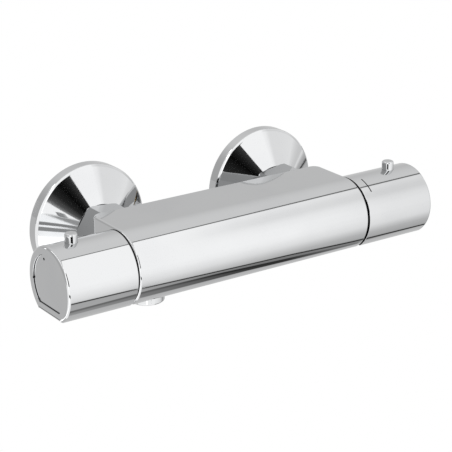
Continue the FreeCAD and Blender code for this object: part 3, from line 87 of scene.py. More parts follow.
class Axis(Enum):
    """Direction that a turned piece runs along, with the turn that a primitive needs for it."""

    BAR = ((1.0, 0.0, 0.0), (0.0, math.pi / 2.0, 0.0))
    ROOM = ((0.0, -1.0, 0.0), (math.pi / 2.0, 0.0, 0.0))
    UP = ((0.0, 0.0, 1.0), (0.0, 0.0, 0.0))

    @property
    def way(self) -> Vector:
        """Unit vector along the axis."""
        return Vector(self.value[0])

    @property
    def turn(self) -> Point:
        """Euler turn that lays a primitive's own Z along the axis."""
        return self.value[1]


class Side(Enum):
    """Which end of the bar a piece belongs to."""

    HOT = -1
    COLD = 1

    @property
    def word(self) -> str:
        """Word that the nodes of this side start with."""
        return "hot" if self is Side.HOT else "cold"


# ---- workbench ------------------------------------------------------------------------


def clear_selection() -> None:
    """Leave edit mode and deselect every object."""
    if bpy.context.object and bpy.context.object.mode != "OBJECT":
        bpy.ops.object.mode_set(mode="OBJECT")
    bpy.ops.object.select_all(action="DESELECT")


class Workpiece:
    """One mesh on the bench: it starts as a primitive and is shaped by the operators of edit mode."""

    def __init__(self, name: str) -> None:
        """Take the primitive that was just added.

        Args:
            name: Name of the finished piece.
        """
        self.obj = bpy.context.active_object
        self.obj.name = name
        self.obj.data.name = name
        bpy.ops.object.transform_apply(location=True, rotation=True, scale=True)

    def activate(self) -> None:
        """Make this the only selected object."""
        clear_selection()
        bpy.context.view_layer.objects.active = self.obj
        self.obj.select_set(True)

    def edit(self, action: str = "SELECT") -> None:
        """Go into edit mode.

        Args:
            action: Blender's word for what the selection starts as.
        """
        self.activate()
        bpy.ops.object.mode_set(mode="EDIT")
        bpy.ops.mesh.select_all(action=action)

    def close_holes(self) -> None:
        """Fill every open loop with a face of its own."""
        self.edit("DESELECT")
        bpy.ops.mesh.select_non_manifold(extend=False)
        bpy.ops.mesh.fill_holes(sides=0)
        bpy.ops.object.mode_set(mode="OBJECT")

    def face_outwards(self) -> None:
        """Merge doubled points, then turn every face outwards."""
        self.edit()
        bpy.ops.mesh.remove_doubles(threshold=DOUBLES)
        bpy.ops.mesh.normals_make_consistent(inside=False)
        bpy.ops.object.mode_set(mode="OBJECT")

    def pick_edges(self, first: Test, second: Optional[Test] = None, least_angle: float = 0.0) -> int:
        """Select the edges whose two points pass a test.

        Args:
            first: Test that both points pass.
            second: Further test of the edge's direction, as a vector between its points.
            least_angle: Smallest angle between the two faces, in radians.

        Returns:
            How many edges are selected.
        """
        self.edit("DESELECT")
        bpy.ops.mesh.select_mode(type="EDGE")
        mesh = bmesh.from_edit_mesh(self.obj.data)
        count = 0
        for edge in mesh.edges:
            low, high = edge.verts[0].co, edge.verts[1].co
            chosen = first(low) and first(high)
            if chosen and second is not None:
                chosen = second(high - low)
            if chosen and least_angle > 0.0:
                chosen = len(edge.link_faces) == 2 and edge.calc_face_angle() > least_angle
            if chosen:
                edge.select_set(True)
                count += 1
        bmesh.update_edit_mesh(self.obj.data)
        return count

    def round_edges(self, width: float, segments: int, first: Test,
                    second: Optional[Test] = None, least_angle: float = 0.0) -> None:
        """Select edges by their place and round them.

        Args:
            width: Distance from the old edge to the new ones.
            segments: Number of strips across the rounding.
            first: Test that both points of an edge pass.
            second: Test of the edge's direction.
            least_angle: Smallest angle between the two faces, in radians.
        """
        count = self.pick_edges(first, second, least_angle)
        if count == 0:
            raise RuntimeError(f"{self.obj.name}: no edge to round")
        bpy.ops.mesh.bevel(offset_type="OFFSET", offset=width, segments=segments, profile=0.5,
                           affect="EDGES", clamp_overlap=False)
        bpy.ops.object.mode_set(mode="OBJECT")

    def round_rings(self, rings: Sequence[Point], spindle: "Spindle", segments: int) -> None:
        """Round named rings of a turned piece.

        Args:
            rings: Radius, place along the axis and rounding width of each ring.
            spindle: Axis that the piece was turned on.
            segments: Number of strips across each rounding.
        """
        for radius, place, width in rings:
            self.round_edges(width, segments, lambda p: spindle.on_ring(p, radius, place))

    def slice(self, point: Vector, normal: Vector, keep_front: bool, fill: bool) -> None:
        """Cut the mesh with a plane and drop one side.

        Args:
            point: Point on the plane.
            normal: Direction across the plane.
            keep_front: True to keep the side that the normal points to.
            fill: True to close the cut.
        """
        self.edit()
        bpy.ops.mesh.bisect(plane_co=point, plane_no=normal, use_fill=fill, clear_inner=keep_front,
                            clear_outer=not keep_front, threshold=ON_PLANE)
        bpy.ops.object.mode_set(mode="OBJECT")

    def combine(self, tools: Sequence["Workpiece"], operation: str) -> None:
        """Cut or join other pieces with this one and use them up.

        Args:
            tools: The other pieces.
            operation: Blender's word for the kind of cut.
        """
        for tool in tools:
            modifier = self.obj.modifiers.new("cut", "BOOLEAN")
            modifier.operation = operation
            modifier.solver = "EXACT"
            modifier.object = tool.obj
            self.activate()
            bpy.ops.object.modifier_apply(modifier=modifier.name)
            bpy.data.objects.remove(tool.obj)

    def cut(self, *tools: "Workpiece") -> None:
        """Take the tools' shapes out of this piece."""
        self.combine(tools, "DIFFERENCE")

    def join(self, *tools: "Workpiece") -> None:
        """Add the tools' shapes to this piece."""
        self.combine(tools, "UNION")

    def shade(self, angle: float = 28.0) -> None:
        """Shade round faces smoothly and keep flats flat.

        Args:
            angle: Edges sharper than this, in degrees, stay sharp.
        """
        self.activate()
        bpy.ops.object.shade_smooth_by_angle(angle=math.radians(angle))
        modifier = self.obj.modifiers.new("even_normals", "WEIGHTED_NORMAL")
        modifier.mode = "FACE_AREA"
        modifier.weight = 60
        modifier.keep_sharp = True
        bpy.ops.object.modifier_apply(modifier=modifier.name)

    def hand_over(self, material: bpy.types.Material, body: str, slot: str, *nodes: str) -> None:
        """Dress the finished piece and let it ride in place of its nodes.

        Args:
            material: Finish of the piece.
            body: Body that it rides on.
            slot: Material slot of the record; not used.
            nodes: Nodes that it stands for.
        """
        self.obj.data.materials.clear()
        self.obj.data.materials.append(material)
        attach(self.obj, body)
        if nodes:
            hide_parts(*nodes)
        LOG.info("%s: %d faces on %s", self.obj.name, len(self.obj.data.polygons), body)


@dataclass(frozen=True)
class Spindle:
    """Axis that pieces are made round, with the point that places along it count from."""

    centre: Vector
    axis: Axis

    def at(self, place: float) -> Vector:
        """Point at a place along the axis."""
        return self.centre + self.axis.way * place

    def on_ring(self, point: Vector, radius: float, place: float) -> bool:
        """Tell whether a point is on a ring round the axis.

        Args:
            point: The point.
            radius: Radius of the ring.
            place: Place of the ring along the axis.

        Returns:
            True for a point of the ring.
        """
        away = point - self.centre
        along = away.dot(self.axis.way)
        out = (away - self.axis.way * along).length
        return abs(along - place) < NEAR and abs(out - radius) < NEAR

    def bar(self, name: str, radius: float, start: float, end: float, segments: int,
            ends: str = "NGON") -> Workpiece:
        """Add a cylinder between two places along the axis.

        Args:
            name: Name of the piece.
            radius: Radius in metres.
            start: First place.
            end: Last place.
            segments: Number of sides.
            ends: Blender's word for how the ends are filled.

        Returns:
            The new piece.
        """
        clear_selection()
        bpy.ops.mesh.primitive_cylinder_add(
            vertices=segments, radius=radius, depth=abs(end - start), end_fill_type=ends,
            location=self.at((start + end) / 2.0), rotation=self.axis.turn)
        return Workpiece(name)

    def turned(self, name: str, rings: Sequence[Pair], segments: int,
               closed: bool = False) -> Workpiece:
        """Turn a piece: a circle that is extruded along the axis and resized, ring after ring.

        Args:
            name: Name of the piece.
            rings: Radius and place along the axis of each ring.
            segments: Number of sides.
            closed: True where the last ring meets the first one again.

        Returns:
            The new piece.
        """
        clear_selection()
        radius, place = rings[0]
        bpy.ops.mesh.primitive_circle_add(
            vertices=segments, radius=radius, fill_type="NOTHING",
            location=self.at(place), rotation=self.axis.turn)
        piece = Workpiece(name)
        bpy.ops.object.mode_set(mode="EDIT")
        bpy.ops.mesh.select_mode(type="EDGE")
        bpy.ops.mesh.select_all(action="SELECT")
        for next_radius, next_place in rings[1:]:
            bpy.ops.mesh.extrude_region_move(
                TRANSFORM_OT_translate={"value": self.axis.way * (next_place - place)})
            share = next_radius / radius
            size = [1.0 if abs(part) > 0.5 else share for part in self.axis.way]
            bpy.ops.transform.resize(value=size, center_override=self.at(next_place))
            radius, place = next_radius, next_place
        bpy.ops.mesh.select_all(action="SELECT")
        if closed:
            bpy.ops.mesh.remove_doubles(threshold=DOUBLES)
        else:
            bpy.ops.mesh.select_all(action="DESELECT")
            bpy.ops.mesh.select_non_manifold(extend=False)
            bpy.ops.mesh.edge_face_add()
        bpy.ops.object.mode_set(mode="OBJECT")
        if not closed:
            piece.close_holes()
        piece.face_outwards()
        return piece


# ---- node groups ----------------------------------------------------------------------


class Graph:
    """Short way to lay nodes in a tree."""

    def __init__(self, tree: bpy.types.NodeTree) -> None:
        """Hold the tree and clear it.

        Args:
            tree: Tree of a material, a world or a group.
        """
        self.tree = tree
        self.tree.nodes.clear()

    def add(self, kind: str, **settings: object) -> bpy.types.Node:
        """Add a node and set its properties.

        Args:
            kind: Blender's type name of the node.
            settings: Properties of the node.

        Returns:
            The new node.
        """
        node = self.tree.nodes.new(kind)
        for name, value in settings.items():
            setattr(node, name, value)
        return node

    def link(self, start: Output, end: Output) -> None:
        """Join an output to an input."""
        self.tree.links.new(start, end)

    def feed(self, end: Output, value: Value) -> None:
        """Give an input a socket or a number.

        Args:
            end: The input.
            value: Socket or number.
        """
        if isinstance(value, (int, float)):
            end.default_value = value
        else:
            self.link(value, end)

    def math(self, operation: str, first: Value, second: Optional[Value] = None) -> Output:
        """Add a Math node.

        Args:
            operation: Blender's word for the sum.
            first: Socket or number.
            second: Socket or number.

        Returns:
            The output socket.
        """
        node = self.add("ShaderNodeMath", operation=operation)
        self.feed(node.inputs[0], first)
        if second is not None:
            self.feed(node.inputs[1], second)
        return node.outputs[0]

    def times(self, first: Value, second: Value) -> Output:
        """Multiply two sockets or numbers."""
        return self.math("MULTIPLY", first, second)

    def less(self, first: Value, second: Value) -> Output:
        """Take the second socket or number from the first."""
        return self.math("SUBTRACT", first, second)

    def ramp(self, value: Output, low: float, high: float, start: float = 0.0, end: float = 1.0,
             smooth: bool = True) -> Output:
        """Map a value from one range to another.

        Args:
            value: Socket to map.
            low: Input at the start.
            high: Input at the end.
            start: Output at the start.
            end: Output at the end.
            smooth: True for a soft step.

        Returns:
            The output socket.
        """
        node = self.add("ShaderNodeMapRange")
        node.interpolation_type = "SMOOTHSTEP" if smooth else "LINEAR"
        self.link(value, node.inputs["Value"])
        for name, number in (("From Min", low), ("From Max", high), ("To Min", start), ("To Max", end)):
            node.inputs[name].default_value = number
        return node.outputs["Result"]

    def curve(self, value: Output, stops: Stops) -> Output:
        """Map a number along straight pieces between stops.

        Args:
            value: Socket with the number.
            stops: Places and results, by rising place.

        Returns:
            The output socket.
        """
        low = stops[0][0]
        high = stops[-1][0]
        top = max(result for _, result in stops)
        node = self.add("ShaderNodeValToRGB")
        points = node.color_ramp.elements
        for place, _ in stops[1:-1]:
            points.new((place - low) / (high - low))
        for point, (_, result) in zip(points, stops):
            point.color = (result / top, result / top, result / top, 1.0)
        self.link(self.ramp(value, low, high, smooth=False), node.inputs[0])
        return self.times(node.outputs[0], top)

    def split(self, vector: Output) -> Tuple[Output, Output, Output]:
        """Part a vector.

        Args:
            vector: Socket with the vector.

        Returns:
            Sockets with its X, Y and Z.
        """
        node = self.add("ShaderNodeSeparateXYZ")
        self.link(vector, node.inputs[0])
        return node.outputs["X"], node.outputs["Y"], node.outputs["Z"]

    def dot(self, vector: Output, direction: Point) -> Output:
        """Multiply a vector with a fixed direction.

        Args:
            vector: Socket with the vector.
            direction: The fixed direction.

        Returns:
            Socket with the dot product.
        """
        node = self.add("ShaderNodeVectorMath", operation="DOT_PRODUCT")
        self.link(vector, node.inputs[0])
        node.inputs[1].default_value = direction
        return node.outputs["Value"]

    def mix(self, share: Value, first: Value, second: Value) -> Output:
        """Mix two numbers.

        Args:
            share: Socket or number, 0 for the first and 1 for the second.
            first: Socket or number.
            second: Socket or number.

        Returns:
            The output socket.
        """
        node = self.add("ShaderNodeMix", data_type="FLOAT")
        for index, value in ((0, share), (2, first), (3, second)):
            self.feed(node.inputs[index], value)
        return node.outputs[0]

    def tint(self, share: Output, first: Union[Output, Point], second: Point) -> Output:
        """Mix two colours.

        Args:
            share: Socket, 0 for the first colour and 1 for the second.
            first: Socket or linear colour.
            second: Linear colour.

        Returns:
            The colour socket.
        """
        node = self.add("ShaderNodeMix", data_type="RGBA")
        self.link(share, node.inputs[0])
        if isinstance(first, tuple):
            node.inputs[6].default_value = (*first, 1.0)
        else:
            self.link(first, node.inputs[6])
        node.inputs[7].default_value = (*second, 1.0)
        return node.outputs[2]

    def noise(self, place: Output, scale: Value, detail: float = 2.0, roughness: float = 0.5) -> Output:
        """Add a noise texture.

        Args:
            place: Socket with the coordinates.
            scale: Socket or number.
            detail: How many finer layers it has.
            roughness: How strong the finer layers are.

        Returns:
            Socket with the value.
        """
        node = self.add("ShaderNodeTexNoise")
        self.link(place, node.inputs["Vector"])
        self.feed(node.inputs["Scale"], scale)
        node.inputs["Detail"].default_value = detail
        node.inputs["Roughness"].default_value = roughness
        return node.outputs[0]

    def effect(self, group: bpy.types.NodeTree, place: Output, setting: str,
               value: float) -> bpy.types.Node:
        """Place a shared effect.

        Args:
            group: The effect's group.
            place: Socket with the coordinates.
            setting: Name of its size socket.
            value: The size.

        Returns:
            The group's node.
        """
        node = self.add("ShaderNodeGroup", node_tree=group)
        self.link(place, node.inputs["Place"])
        node.inputs[setting].default_value = value
        return node


class Effects:
    """The effects that several finishes share, each built once."""

    HAZE: Fade = (0.42, 0.72)
    SCRATCHES: Fade = (0.66, 0.78)
    SCRATCH_TURN: Point = (0.3, 0.5, 0.8)
    SCRATCH_STRETCH: Point = (1.0, 30.0, 24.0)
    SCRATCH_SCALE = 90.0
    RING_SLANT = 0.37
    RING_BREAKS = 220.0
    RINGS: Fade = (0.3, 0.7)
    PATCHES = 60.0
    GRAIN: Fade = (0.35, 0.65)

    def __init__(self) -> None:
        """Build every group."""
        self.handling = self._handling()
        self.turning = self._turning()
        self.grain = self._grain()

    @staticmethod
    def _start(name: str, size: str, usual: float, *results: str) -> Tuple[Graph, Sockets, Sockets]:
        """Start a group that takes coordinates and one size.

        Args:
            name: Name of the group.
            size: Name of the size socket.
            usual: Value of the size where none is given.
            results: Names of the sockets that come out.

        Returns:
            The group's graph, the sockets that it takes from and those that it gives to.
        """
        group = bpy.data.node_groups.new(name, "ShaderNodeTree")
        sockets = group.interface
        sockets.new_socket(name="Place", in_out="INPUT", socket_type="NodeSocketVector")
        made = sockets.new_socket(name=size, in_out="INPUT", socket_type="NodeSocketFloat")
        made.default_value = usual
        for result in results:
            sockets.new_socket(name=result, in_out="OUTPUT", socket_type="NodeSocketFloat")
        graph = Graph(group)
        return graph, graph.add("NodeGroupInput").outputs, graph.add("NodeGroupOutput").inputs

    def _handling(self) -> bpy.types.NodeTree:
        """Faint wiping marks and haze of a surface that hands and cloths touch.

        Returns:
            Group with a haze mask and a fine scratch mask.
        """
        graph, source, out = self._start("handling_marks", "Scale", 40.0, "Haze", "Scratches")
        haze = graph.noise(source["Place"], source["Scale"], 3.0, 0.55)
        graph.link(graph.ramp(haze, *self.HAZE), out["Haze"])
        stretch = graph.add("ShaderNodeMapping")
        stretch.inputs["Rotation"].default_value = self.SCRATCH_TURN
        stretch.inputs["Scale"].default_value = self.SCRATCH_STRETCH
        graph.link(source["Place"], stretch.inputs["Vector"])
        lines = graph.noise(stretch.outputs[0], self.SCRATCH_SCALE)
        graph.link(graph.ramp(lines, *self.SCRATCHES), out["Scratches"])
        return graph.tree

    def _turning(self) -> bpy.types.NodeTree:
        """Fine rings that a lathe leaves along the bar.

        Returns:
            Group with the height of the rings and a tone mask.
        """
        graph, source, out = self._start("turning_rings", "Pitch", 0.0004, "Height", "Tone")
        along, across, _ = graph.split(source["Place"])
        depth = graph.math("ADD", along, graph.times(across, self.RING_SLANT))
        phase = graph.math("DIVIDE", depth, source["Pitch"])
        wave = graph.math("SINE", graph.times(phase, 2.0 * math.pi))
        noise = graph.noise(source["Place"], self.RING_BREAKS)
        graph.link(graph.times(wave, noise), out["Height"])
        graph.link(graph.ramp(noise, *self.RINGS), out["Tone"])
        return graph.tree

    def _grain(self) -> bpy.types.NodeTree:
        """Fine grain of a moulded or pressed surface.

        Returns:
            Group with the height of the grain and a tone mask.
        """
        graph, source, out = self._start("moulded_grain", "Scale", 900.0, "Height", "Tone")
        graph.link(graph.noise(source["Place"], source["Scale"], 4.0), out["Height"])
        broad = graph.noise(source["Place"], self.PATCHES)
        graph.link(graph.ramp(broad, *self.GRAIN), out["Tone"])
        return graph.tree


# ---- finishes -------------------------------------------------------------------------


def bare_material(name: str) -> Tuple[bpy.types.Material, Graph, Output]:
    """Start a material with its object coordinates.

    Args:
        name: Name of the material.

    Returns:
        The material, its graph and the coordinate socket.
    """
    material = bpy.data.materials.new(name)
    material.use_nodes = True
    graph = Graph(material.node_tree)
    return material, graph, graph.add("ShaderNodeTexCoord").outputs["Object"]


def blank_material(name: str) -> Tuple[bpy.types.Material, Graph, bpy.types.Node, Output]:
    """Start a material with its shader and its object coordinates.

    Args:
        name: Name of the material.

    Returns:
        The material, its graph, the shader node and the coordinate socket.
    """
    material, graph, place = bare_material(name)
    shader = graph.add("ShaderNodeBsdfPrincipled")
    out = graph.add("ShaderNodeOutputMaterial")
    graph.link(shader.outputs[0], out.inputs[0])
    return material, graph, shader, place


def bump(graph: Graph, shader: bpy.types.Node, height: Output, depth: float) -> None:
    """Let a height field feed the shader's normal.

    Args:
        graph: Graph of the material.
        shader: Shader node.
        height: Height socket.
        depth: Depth of a height of 1, in metres.
    """
    node = graph.add("ShaderNodeBump")
    node.inputs["Strength"].default_value = 1.0
    node.inputs["Distance"].default_value = depth
    graph.link(height, node.inputs["Height"])
    graph.link(node.outputs[0], shader.inputs["Normal"])


@dataclass(frozen=True)
class DarkGap:
    """Stretch of a piece that is painted dark, as painted shade in recesses and joint gaps and as the
    index line's darkened floor: two places along the bar, two radii, least height.
    """

    start: float
    end: float
    inner: float
    outer: float
    above: float = -1.0

    def mask(self, graph: Graph, place: Output, axis: Point) -> Output:
        """Lay the mask of the stretch.

        Args:
            graph: Graph of the material.
            place: Socket with the object coordinates.
            axis: Point on the bar's axis.

        Returns:
            Socket that is 1 inside the stretch.
        """
        along, across, rise = graph.split(place)
        across = graph.less(across, axis[1])
        rise = graph.less(rise, axis[2])
        square = graph.math("ADD", graph.times(across, across), graph.times(rise, rise))
        radius = graph.math("SQRT", square)
        inside = graph.math("GREATER_THAN", along, self.start)
        for operation, value, limit in (
                ("LESS_THAN", along, self.end), ("GREATER_THAN", radius, self.inner),
                ("LESS_THAN", radius, self.outer), ("GREATER_THAN", rise, self.above)):
            inside = graph.times(inside, graph.math(operation, value, limit))
        return inside


@dataclass(frozen=True)
class Plating:
    """Polished chrome plate with a trace of haze and wiping marks, and stretches painted dark: painted
    shade in recesses and joint gaps, and the index line's darkened floor.
    """

    name: str
    tone: Point = (0.575, 0.58, 0.585)
    hazed: Point = (0.56, 0.565, 0.572)
    polish: float = 0.035
    worn: float = 0.06
    scratched: float = 0.03
    marks: float = 28.0
    filler: Point = (0.012, 0.012, 0.013)
    filler_rough: float = 0.6
    gaps: Tuple[DarkGap, ...] = ()
    axis: Point = (0.0, 0.0, 0.0)

    def build(self, effects: Effects) -> bpy.types.Material:
        """Make the material.

        Args:
            effects: Shared node groups.

        Returns:
            The material.
        """
        material, graph, shader, place = blank_material(self.name)
        marks = graph.effect(effects.handling, place, "Scale", self.marks).outputs
        colour = graph.tint(marks["Haze"], self.tone, self.hazed)
        rough = graph.mix(marks["Haze"], self.polish, self.worn)
        rough = graph.math("ADD", rough, graph.times(marks["Scratches"], self.scratched))
        # Painted shade: each given stretch (a recess, a joint gap or the index line's floor) gets a dark
        # matt tone.
        for gap in self.gaps:
            darkened = gap.mask(graph, place, self.axis)
            colour = graph.tint(darkened, colour, self.filler)
            rough = graph.mix(darkened, rough, self.filler_rough)
        graph.link(colour, shader.inputs["Base Color"])
        graph.link(rough, shader.inputs["Roughness"])
        shader.inputs["Metallic"].default_value = 1.0
        return material


@dataclass(frozen=True)
class TurnedMetal:
    """Unplated metal with the rings of the lathe."""

    name: str
    tone: Point
    dark: Point
    polish: float = 0.28
    pitch: float = 0.0005
    depth: float = 0.00002
    worn: float = 0.14
    marks: float = 60.0

    def build(self, effects: Effects) -> bpy.types.Material:
        """Make the material.

        Args:
            effects: Shared node groups.

        Returns:
            The material.
        """
        material, graph, shader, place = blank_material(self.name)
        rings = graph.effect(effects.turning, place, "Pitch", self.pitch).outputs
        marks = graph.effect(effects.handling, place, "Scale", self.marks).outputs
        graph.link(graph.tint(rings["Tone"], self.tone, self.dark), shader.inputs["Base Color"])
        rough = graph.mix(marks["Haze"], self.polish, self.polish + self.worn)
        graph.link(rough, shader.inputs["Roughness"])
        shader.inputs["Metallic"].default_value = 1.0
        bump(graph, shader, rings["Height"], self.depth)
        return material


@dataclass(frozen=True)
class Moulded:
    """Moulded plastic, pressed fibre, rubber or ceramic."""

    name: str
    tone: Point
    other: Point
    polish: float = 0.45
    rough: float = 0.6
    scale: float = 900.0
    depth: float = 0.00003
    sheen: float = 0.0

    def build(self, effects: Effects) -> bpy.types.Material:
        """Make the material.

        Args:
            effects: Shared node groups.

        Returns:
            The material.
        """
        material, graph, shader, place = blank_material(self.name)
        grain = graph.effect(effects.grain, place, "Scale", self.scale).outputs
        graph.link(graph.tint(grain["Tone"], self.tone, self.other), shader.inputs["Base Color"])
        graph.link(graph.mix(grain["Height"], self.polish, self.rough), shader.inputs["Roughness"])
        shader.inputs["Sheen Weight"].default_value = self.sheen
        bump(graph, shader, grain["Height"], self.depth)
        return material


Finish = Union[Plating, TurnedMetal, Moulded]


class Finishes:
    """Every finish of the valve, by the name of its slot in the record."""

    def __init__(self) -> None:
        """Build the shared effects and the materials."""
        self.effects = Effects()
        kinds: Dict[str, Finish] = {
            "chrome": Plating("polished_chrome"),
            "brass": TurnedMetal("machined_brass", (0.62, 0.45, 0.20), (0.52, 0.37, 0.16)),
            "steel": TurnedMetal("stainless_steel", (0.50, 0.50, 0.50), (0.42, 0.42, 0.43), 0.3),
            "spring_steel": TurnedMetal(
                "drawn_spring_wire", (0.44, 0.44, 0.45), (0.36, 0.36, 0.38), 0.22, 0.0003, 0.000008),
            "copper": TurnedMetal("copper_capsule", (0.70, 0.36, 0.23), (0.58, 0.28, 0.17), 0.25),
            "ceramic": Moulded(
                "ground_ceramic", (0.80, 0.78, 0.72), (0.74, 0.72, 0.67), 0.12, 0.22, 1400.0, 0.000008),
            "seal_rubber": Moulded(
                "seal_rubber", (0.012, 0.012, 0.013), (0.02, 0.02, 0.021), 0.5, 0.7, 700.0, 0.00003,
                0.1),
            "foam": Moulded(
                "closed_cell_foam", (0.05, 0.052, 0.055), (0.075, 0.078, 0.082), 0.85, 0.95, 1100.0,
                0.0002),
            "fibre": Moulded(
                "pressed_fibre", (0.27, 0.055, 0.033), (0.20, 0.042, 0.026), 0.7, 0.85, 1500.0, 0.00008),
            "white_plastic": Moulded(
                "white_acetal", (0.72, 0.72, 0.69), (0.67, 0.67, 0.65), 0.32, 0.42, 800.0, 0.00002),
            "grey_plastic": Moulded(
                "grey_filled_plastic", (0.15, 0.16, 0.17), (0.12, 0.128, 0.138), 0.42, 0.58, 1000.0,
                0.00004),
            "black_plastic": Moulded(
                "black_moulded_plastic", (0.013, 0.013, 0.015), (0.02, 0.02, 0.022), 0.35, 0.5, 900.0,
                0.00003),
        }
        self.materials = {slot: kind.build(self.effects) for slot, kind in kinds.items()}

    def __getitem__(self, slot: str) -> bpy.types.Material:
        """Material of a slot."""
        return self.materials[slot]

    def gapped_plating(self, name: str, axis: Point, *gaps: DarkGap) -> bpy.types.Material:
        """Chrome plate with stretches painted dark: painted shade in recesses and joint gaps, and the
        index line's darkened floor.

        Args:
            name: Name of the material.
            axis: Point on the bar's axis.
            gaps: The stretches that are painted dark.

        Returns:
            The material.
        """
        return Plating(name, gaps=gaps, axis=axis).build(self.effects)

    def dress_nodes(self, record: dict) -> None:
        """Give every node of the frame the finish that the record names.

        Args:
            record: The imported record.
        """
        for subpart in record["subparts"]:
            node = frame["nodes"][subpart["node"]]
            node.data.materials.clear()
            node.data.materials.append(self[subpart["material_slot"]])
        LOG.info("%d nodes dressed", len(record["subparts"]))


# ---- sub-assemblies -------------------------------------------------------------------


@dataclass(frozen=True)
class Layout:
    """Places that the sub-assemblies share."""

    bar_y: float = -81.4 * MM
    bar_z: float = 0.4 * MM
    inlet_x: float = 75.0 * MM
    nut_z: float = 5.0 * MM
    body_half: float = 96.1 * MM
    neck_end: float = 104.0 * MM
    handle_start: float = 96.7 * MM
    cartridge_radius: float = 15.0 * MM
    back_face: float = 44.8 * MM

    @property
    def bar(self) -> Vector:
        """Point on the bar axis midway between the inlets."""
        return Vector((0.0, self.bar_y, self.bar_z))

    @property
    def lathe(self) -> Spindle:
        """Axis of the bar."""
        return Spindle(self.bar, Axis.BAR)

    def upright(self, across: float) -> Spindle:
        """Upright axis through the bar's own axis."""
        return Spindle(self.bar + Vector((across, 0.0, 0.0)), Axis.UP)

    def inlet(self, side: Side) -> Spindle:
        """Axis of a union nut, from the wall plane into the room."""
        return Spindle(Vector((side.value * self.inlet_x, 0.0, self.nut_z)), Axis.ROOM)


def corner_width(radius: float, turn: float) -> float:
    """Distance from an edge to the start of a rounding.

    Args:
        radius: Radius of the rounding.
        turn: Angle between the two faces' directions, in radians.

    Returns:
        The distance along each face.
    """
    return radius * math.tan(turn / 2.0)


@dataclass
class Assembly:
    """Sub-assembly that is modelled in the shared layout with the shared finishes."""

    layout: Layout
    finishes: Finishes


def lengthwise(direction: Vector) -> bool:
    """True for an edge that runs the length of the bar."""
    return abs(direction.x) > LONG


@dataclass
class BodyCasting(Assembly):
    """The long cast body with its flat shelf, necks, bores and inlets."""

    radius: float = 26.45 * MM
    shift: float = 0.35 * MM
    flat: float = 21.3 * MM
    back: float = 36.6 * MM
    back_corner: float = 6.5 * MM
    end_round: float = 1.8 * MM
    toe_round: float = 1.4 * MM
    neck_radius: float = 17.5 * MM
    outlet_x: float = -75.0 * MM
    outlet_hole: float = 12.15 * MM
    outlet_seat: float = -13.5 * MM
    port_radius: float = 6.5 * MM
    connector_hole: float = 10.65 * MM
    bore_end: float = 45.0 * MM
    seat_start: float = -60.0 * MM
    inlet_depth: float = 22.0 * MM
    joint_reach: float = 26.1 * MM
    joint_past: float = 0.1 * MM
    joint_width: float = 0.4 * MM

    def outer_form(self) -> Workpiece:
        """Shape the bar: front arc, flat underside, shelf and back.

        Returns:
            The closed outer form.
        """
        place = self.layout
        centre = place.bar + Vector((0.0, self.shift, self.shift))
        form = Spindle(centre, Axis.BAR).bar(
            "body_casting", self.radius, -place.body_half, place.body_half, 2 * BAR_SEGMENTS, "NOTHING")
        low = place.bar_z - self.flat
        top = centre.z + self.radius
        form.slice(Vector((0.0, 0.0, low)), Vector((0.0, 0.0, 1.0)), True, False)
        form.slice(Vector((0.0, centre.y, 0.0)), Vector((0.0, 1.0, 0.0)), False, False)
        rear = place.bar_y + self.back
        for level in (top, low):
            ends_at = centre.y if level == top else min(
                v.co.y for v in form.obj.data.vertices if abs(v.co.z - low) < NEAR)
            form.pick_edges(lambda p: abs(p.z - level) < NEAR and abs(p.y - ends_at) < NEAR,
                            lengthwise)
            bpy.ops.mesh.extrude_region_move(
                TRANSFORM_OT_translate={"value": (0.0, rear - ends_at, 0.0)})
            bpy.ops.object.mode_set(mode="OBJECT")
        for first, second in ((lambda p: abs(p.y - rear) < NEAR, lengthwise),
                              (lambda p: abs(p.x + place.body_half) < NEAR, None),
                              (lambda p: abs(p.x - place.body_half) < NEAR, None)):
            form.pick_edges(first, second)
            bpy.ops.mesh.edge_face_add()
            bpy.ops.object.mode_set(mode="OBJECT")
        form.face_outwards()
        form.round_edges(self.back_corner, 14, lambda p: abs(p.y - rear) < NEAR,
                         lambda d: abs(d.z) > 0.9 * d.length)
        form.round_edges(self.end_round, 8, lambda p: True, None, SHARP)
        toe = math.acos((self.flat + self.shift) / self.radius)
        form.round_edges(corner_width(self.toe_round, toe), 6,
                         lambda p: abs(p.z - low) < NEAR and p.y < place.bar_y, lengthwise, CREASE)
        return form

    def build(self) -> None:
        """Model the casting and hand it over."""
        place = self.layout
        form = self.outer_form()
        reach = place.neck_end
        lathe = place.lathe
        form.join(lathe.bar("necks", self.neck_radius, -reach, reach, ROUND_SEGMENTS))
        outlet = place.upright(self.outlet_x)
        tools = [
            *(lathe.bar("bore", place.cartridge_radius, side.value * self.bore_end,
                        side.value * 2.0 * reach, BORE_SEGMENTS) for side in Side),
            outlet.bar("seat", self.outlet_hole, self.seat_start, self.outlet_seat, BORE_SEGMENTS),
            outlet.bar("port", self.port_radius, self.outlet_seat - MM, 0.0, HOLE_SEGMENTS),
            *(place.inlet(side).bar("inlet", self.connector_hole, place.back_face - MM,
                                    place.back_face + self.inlet_depth, HOLE_SEGMENTS)
              for side in Side),
        ]
        form.cut(*tools)
        form.shade()
        # Painted shade: a thin dark ring at each end of the body, where the joint gap to the handle
        # lies.
        ends = (-place.body_half - self.joint_past,
                place.body_half + self.joint_past - self.joint_width)
        joints = [DarkGap(low, low + self.joint_width, 0.0, self.joint_reach) for low in ends]
        plating = self.finishes.gapped_plating("body_chrome", tuple(place.bar), *joints)
        form.hand_over(plating, "valve", "chrome", "valve_body")


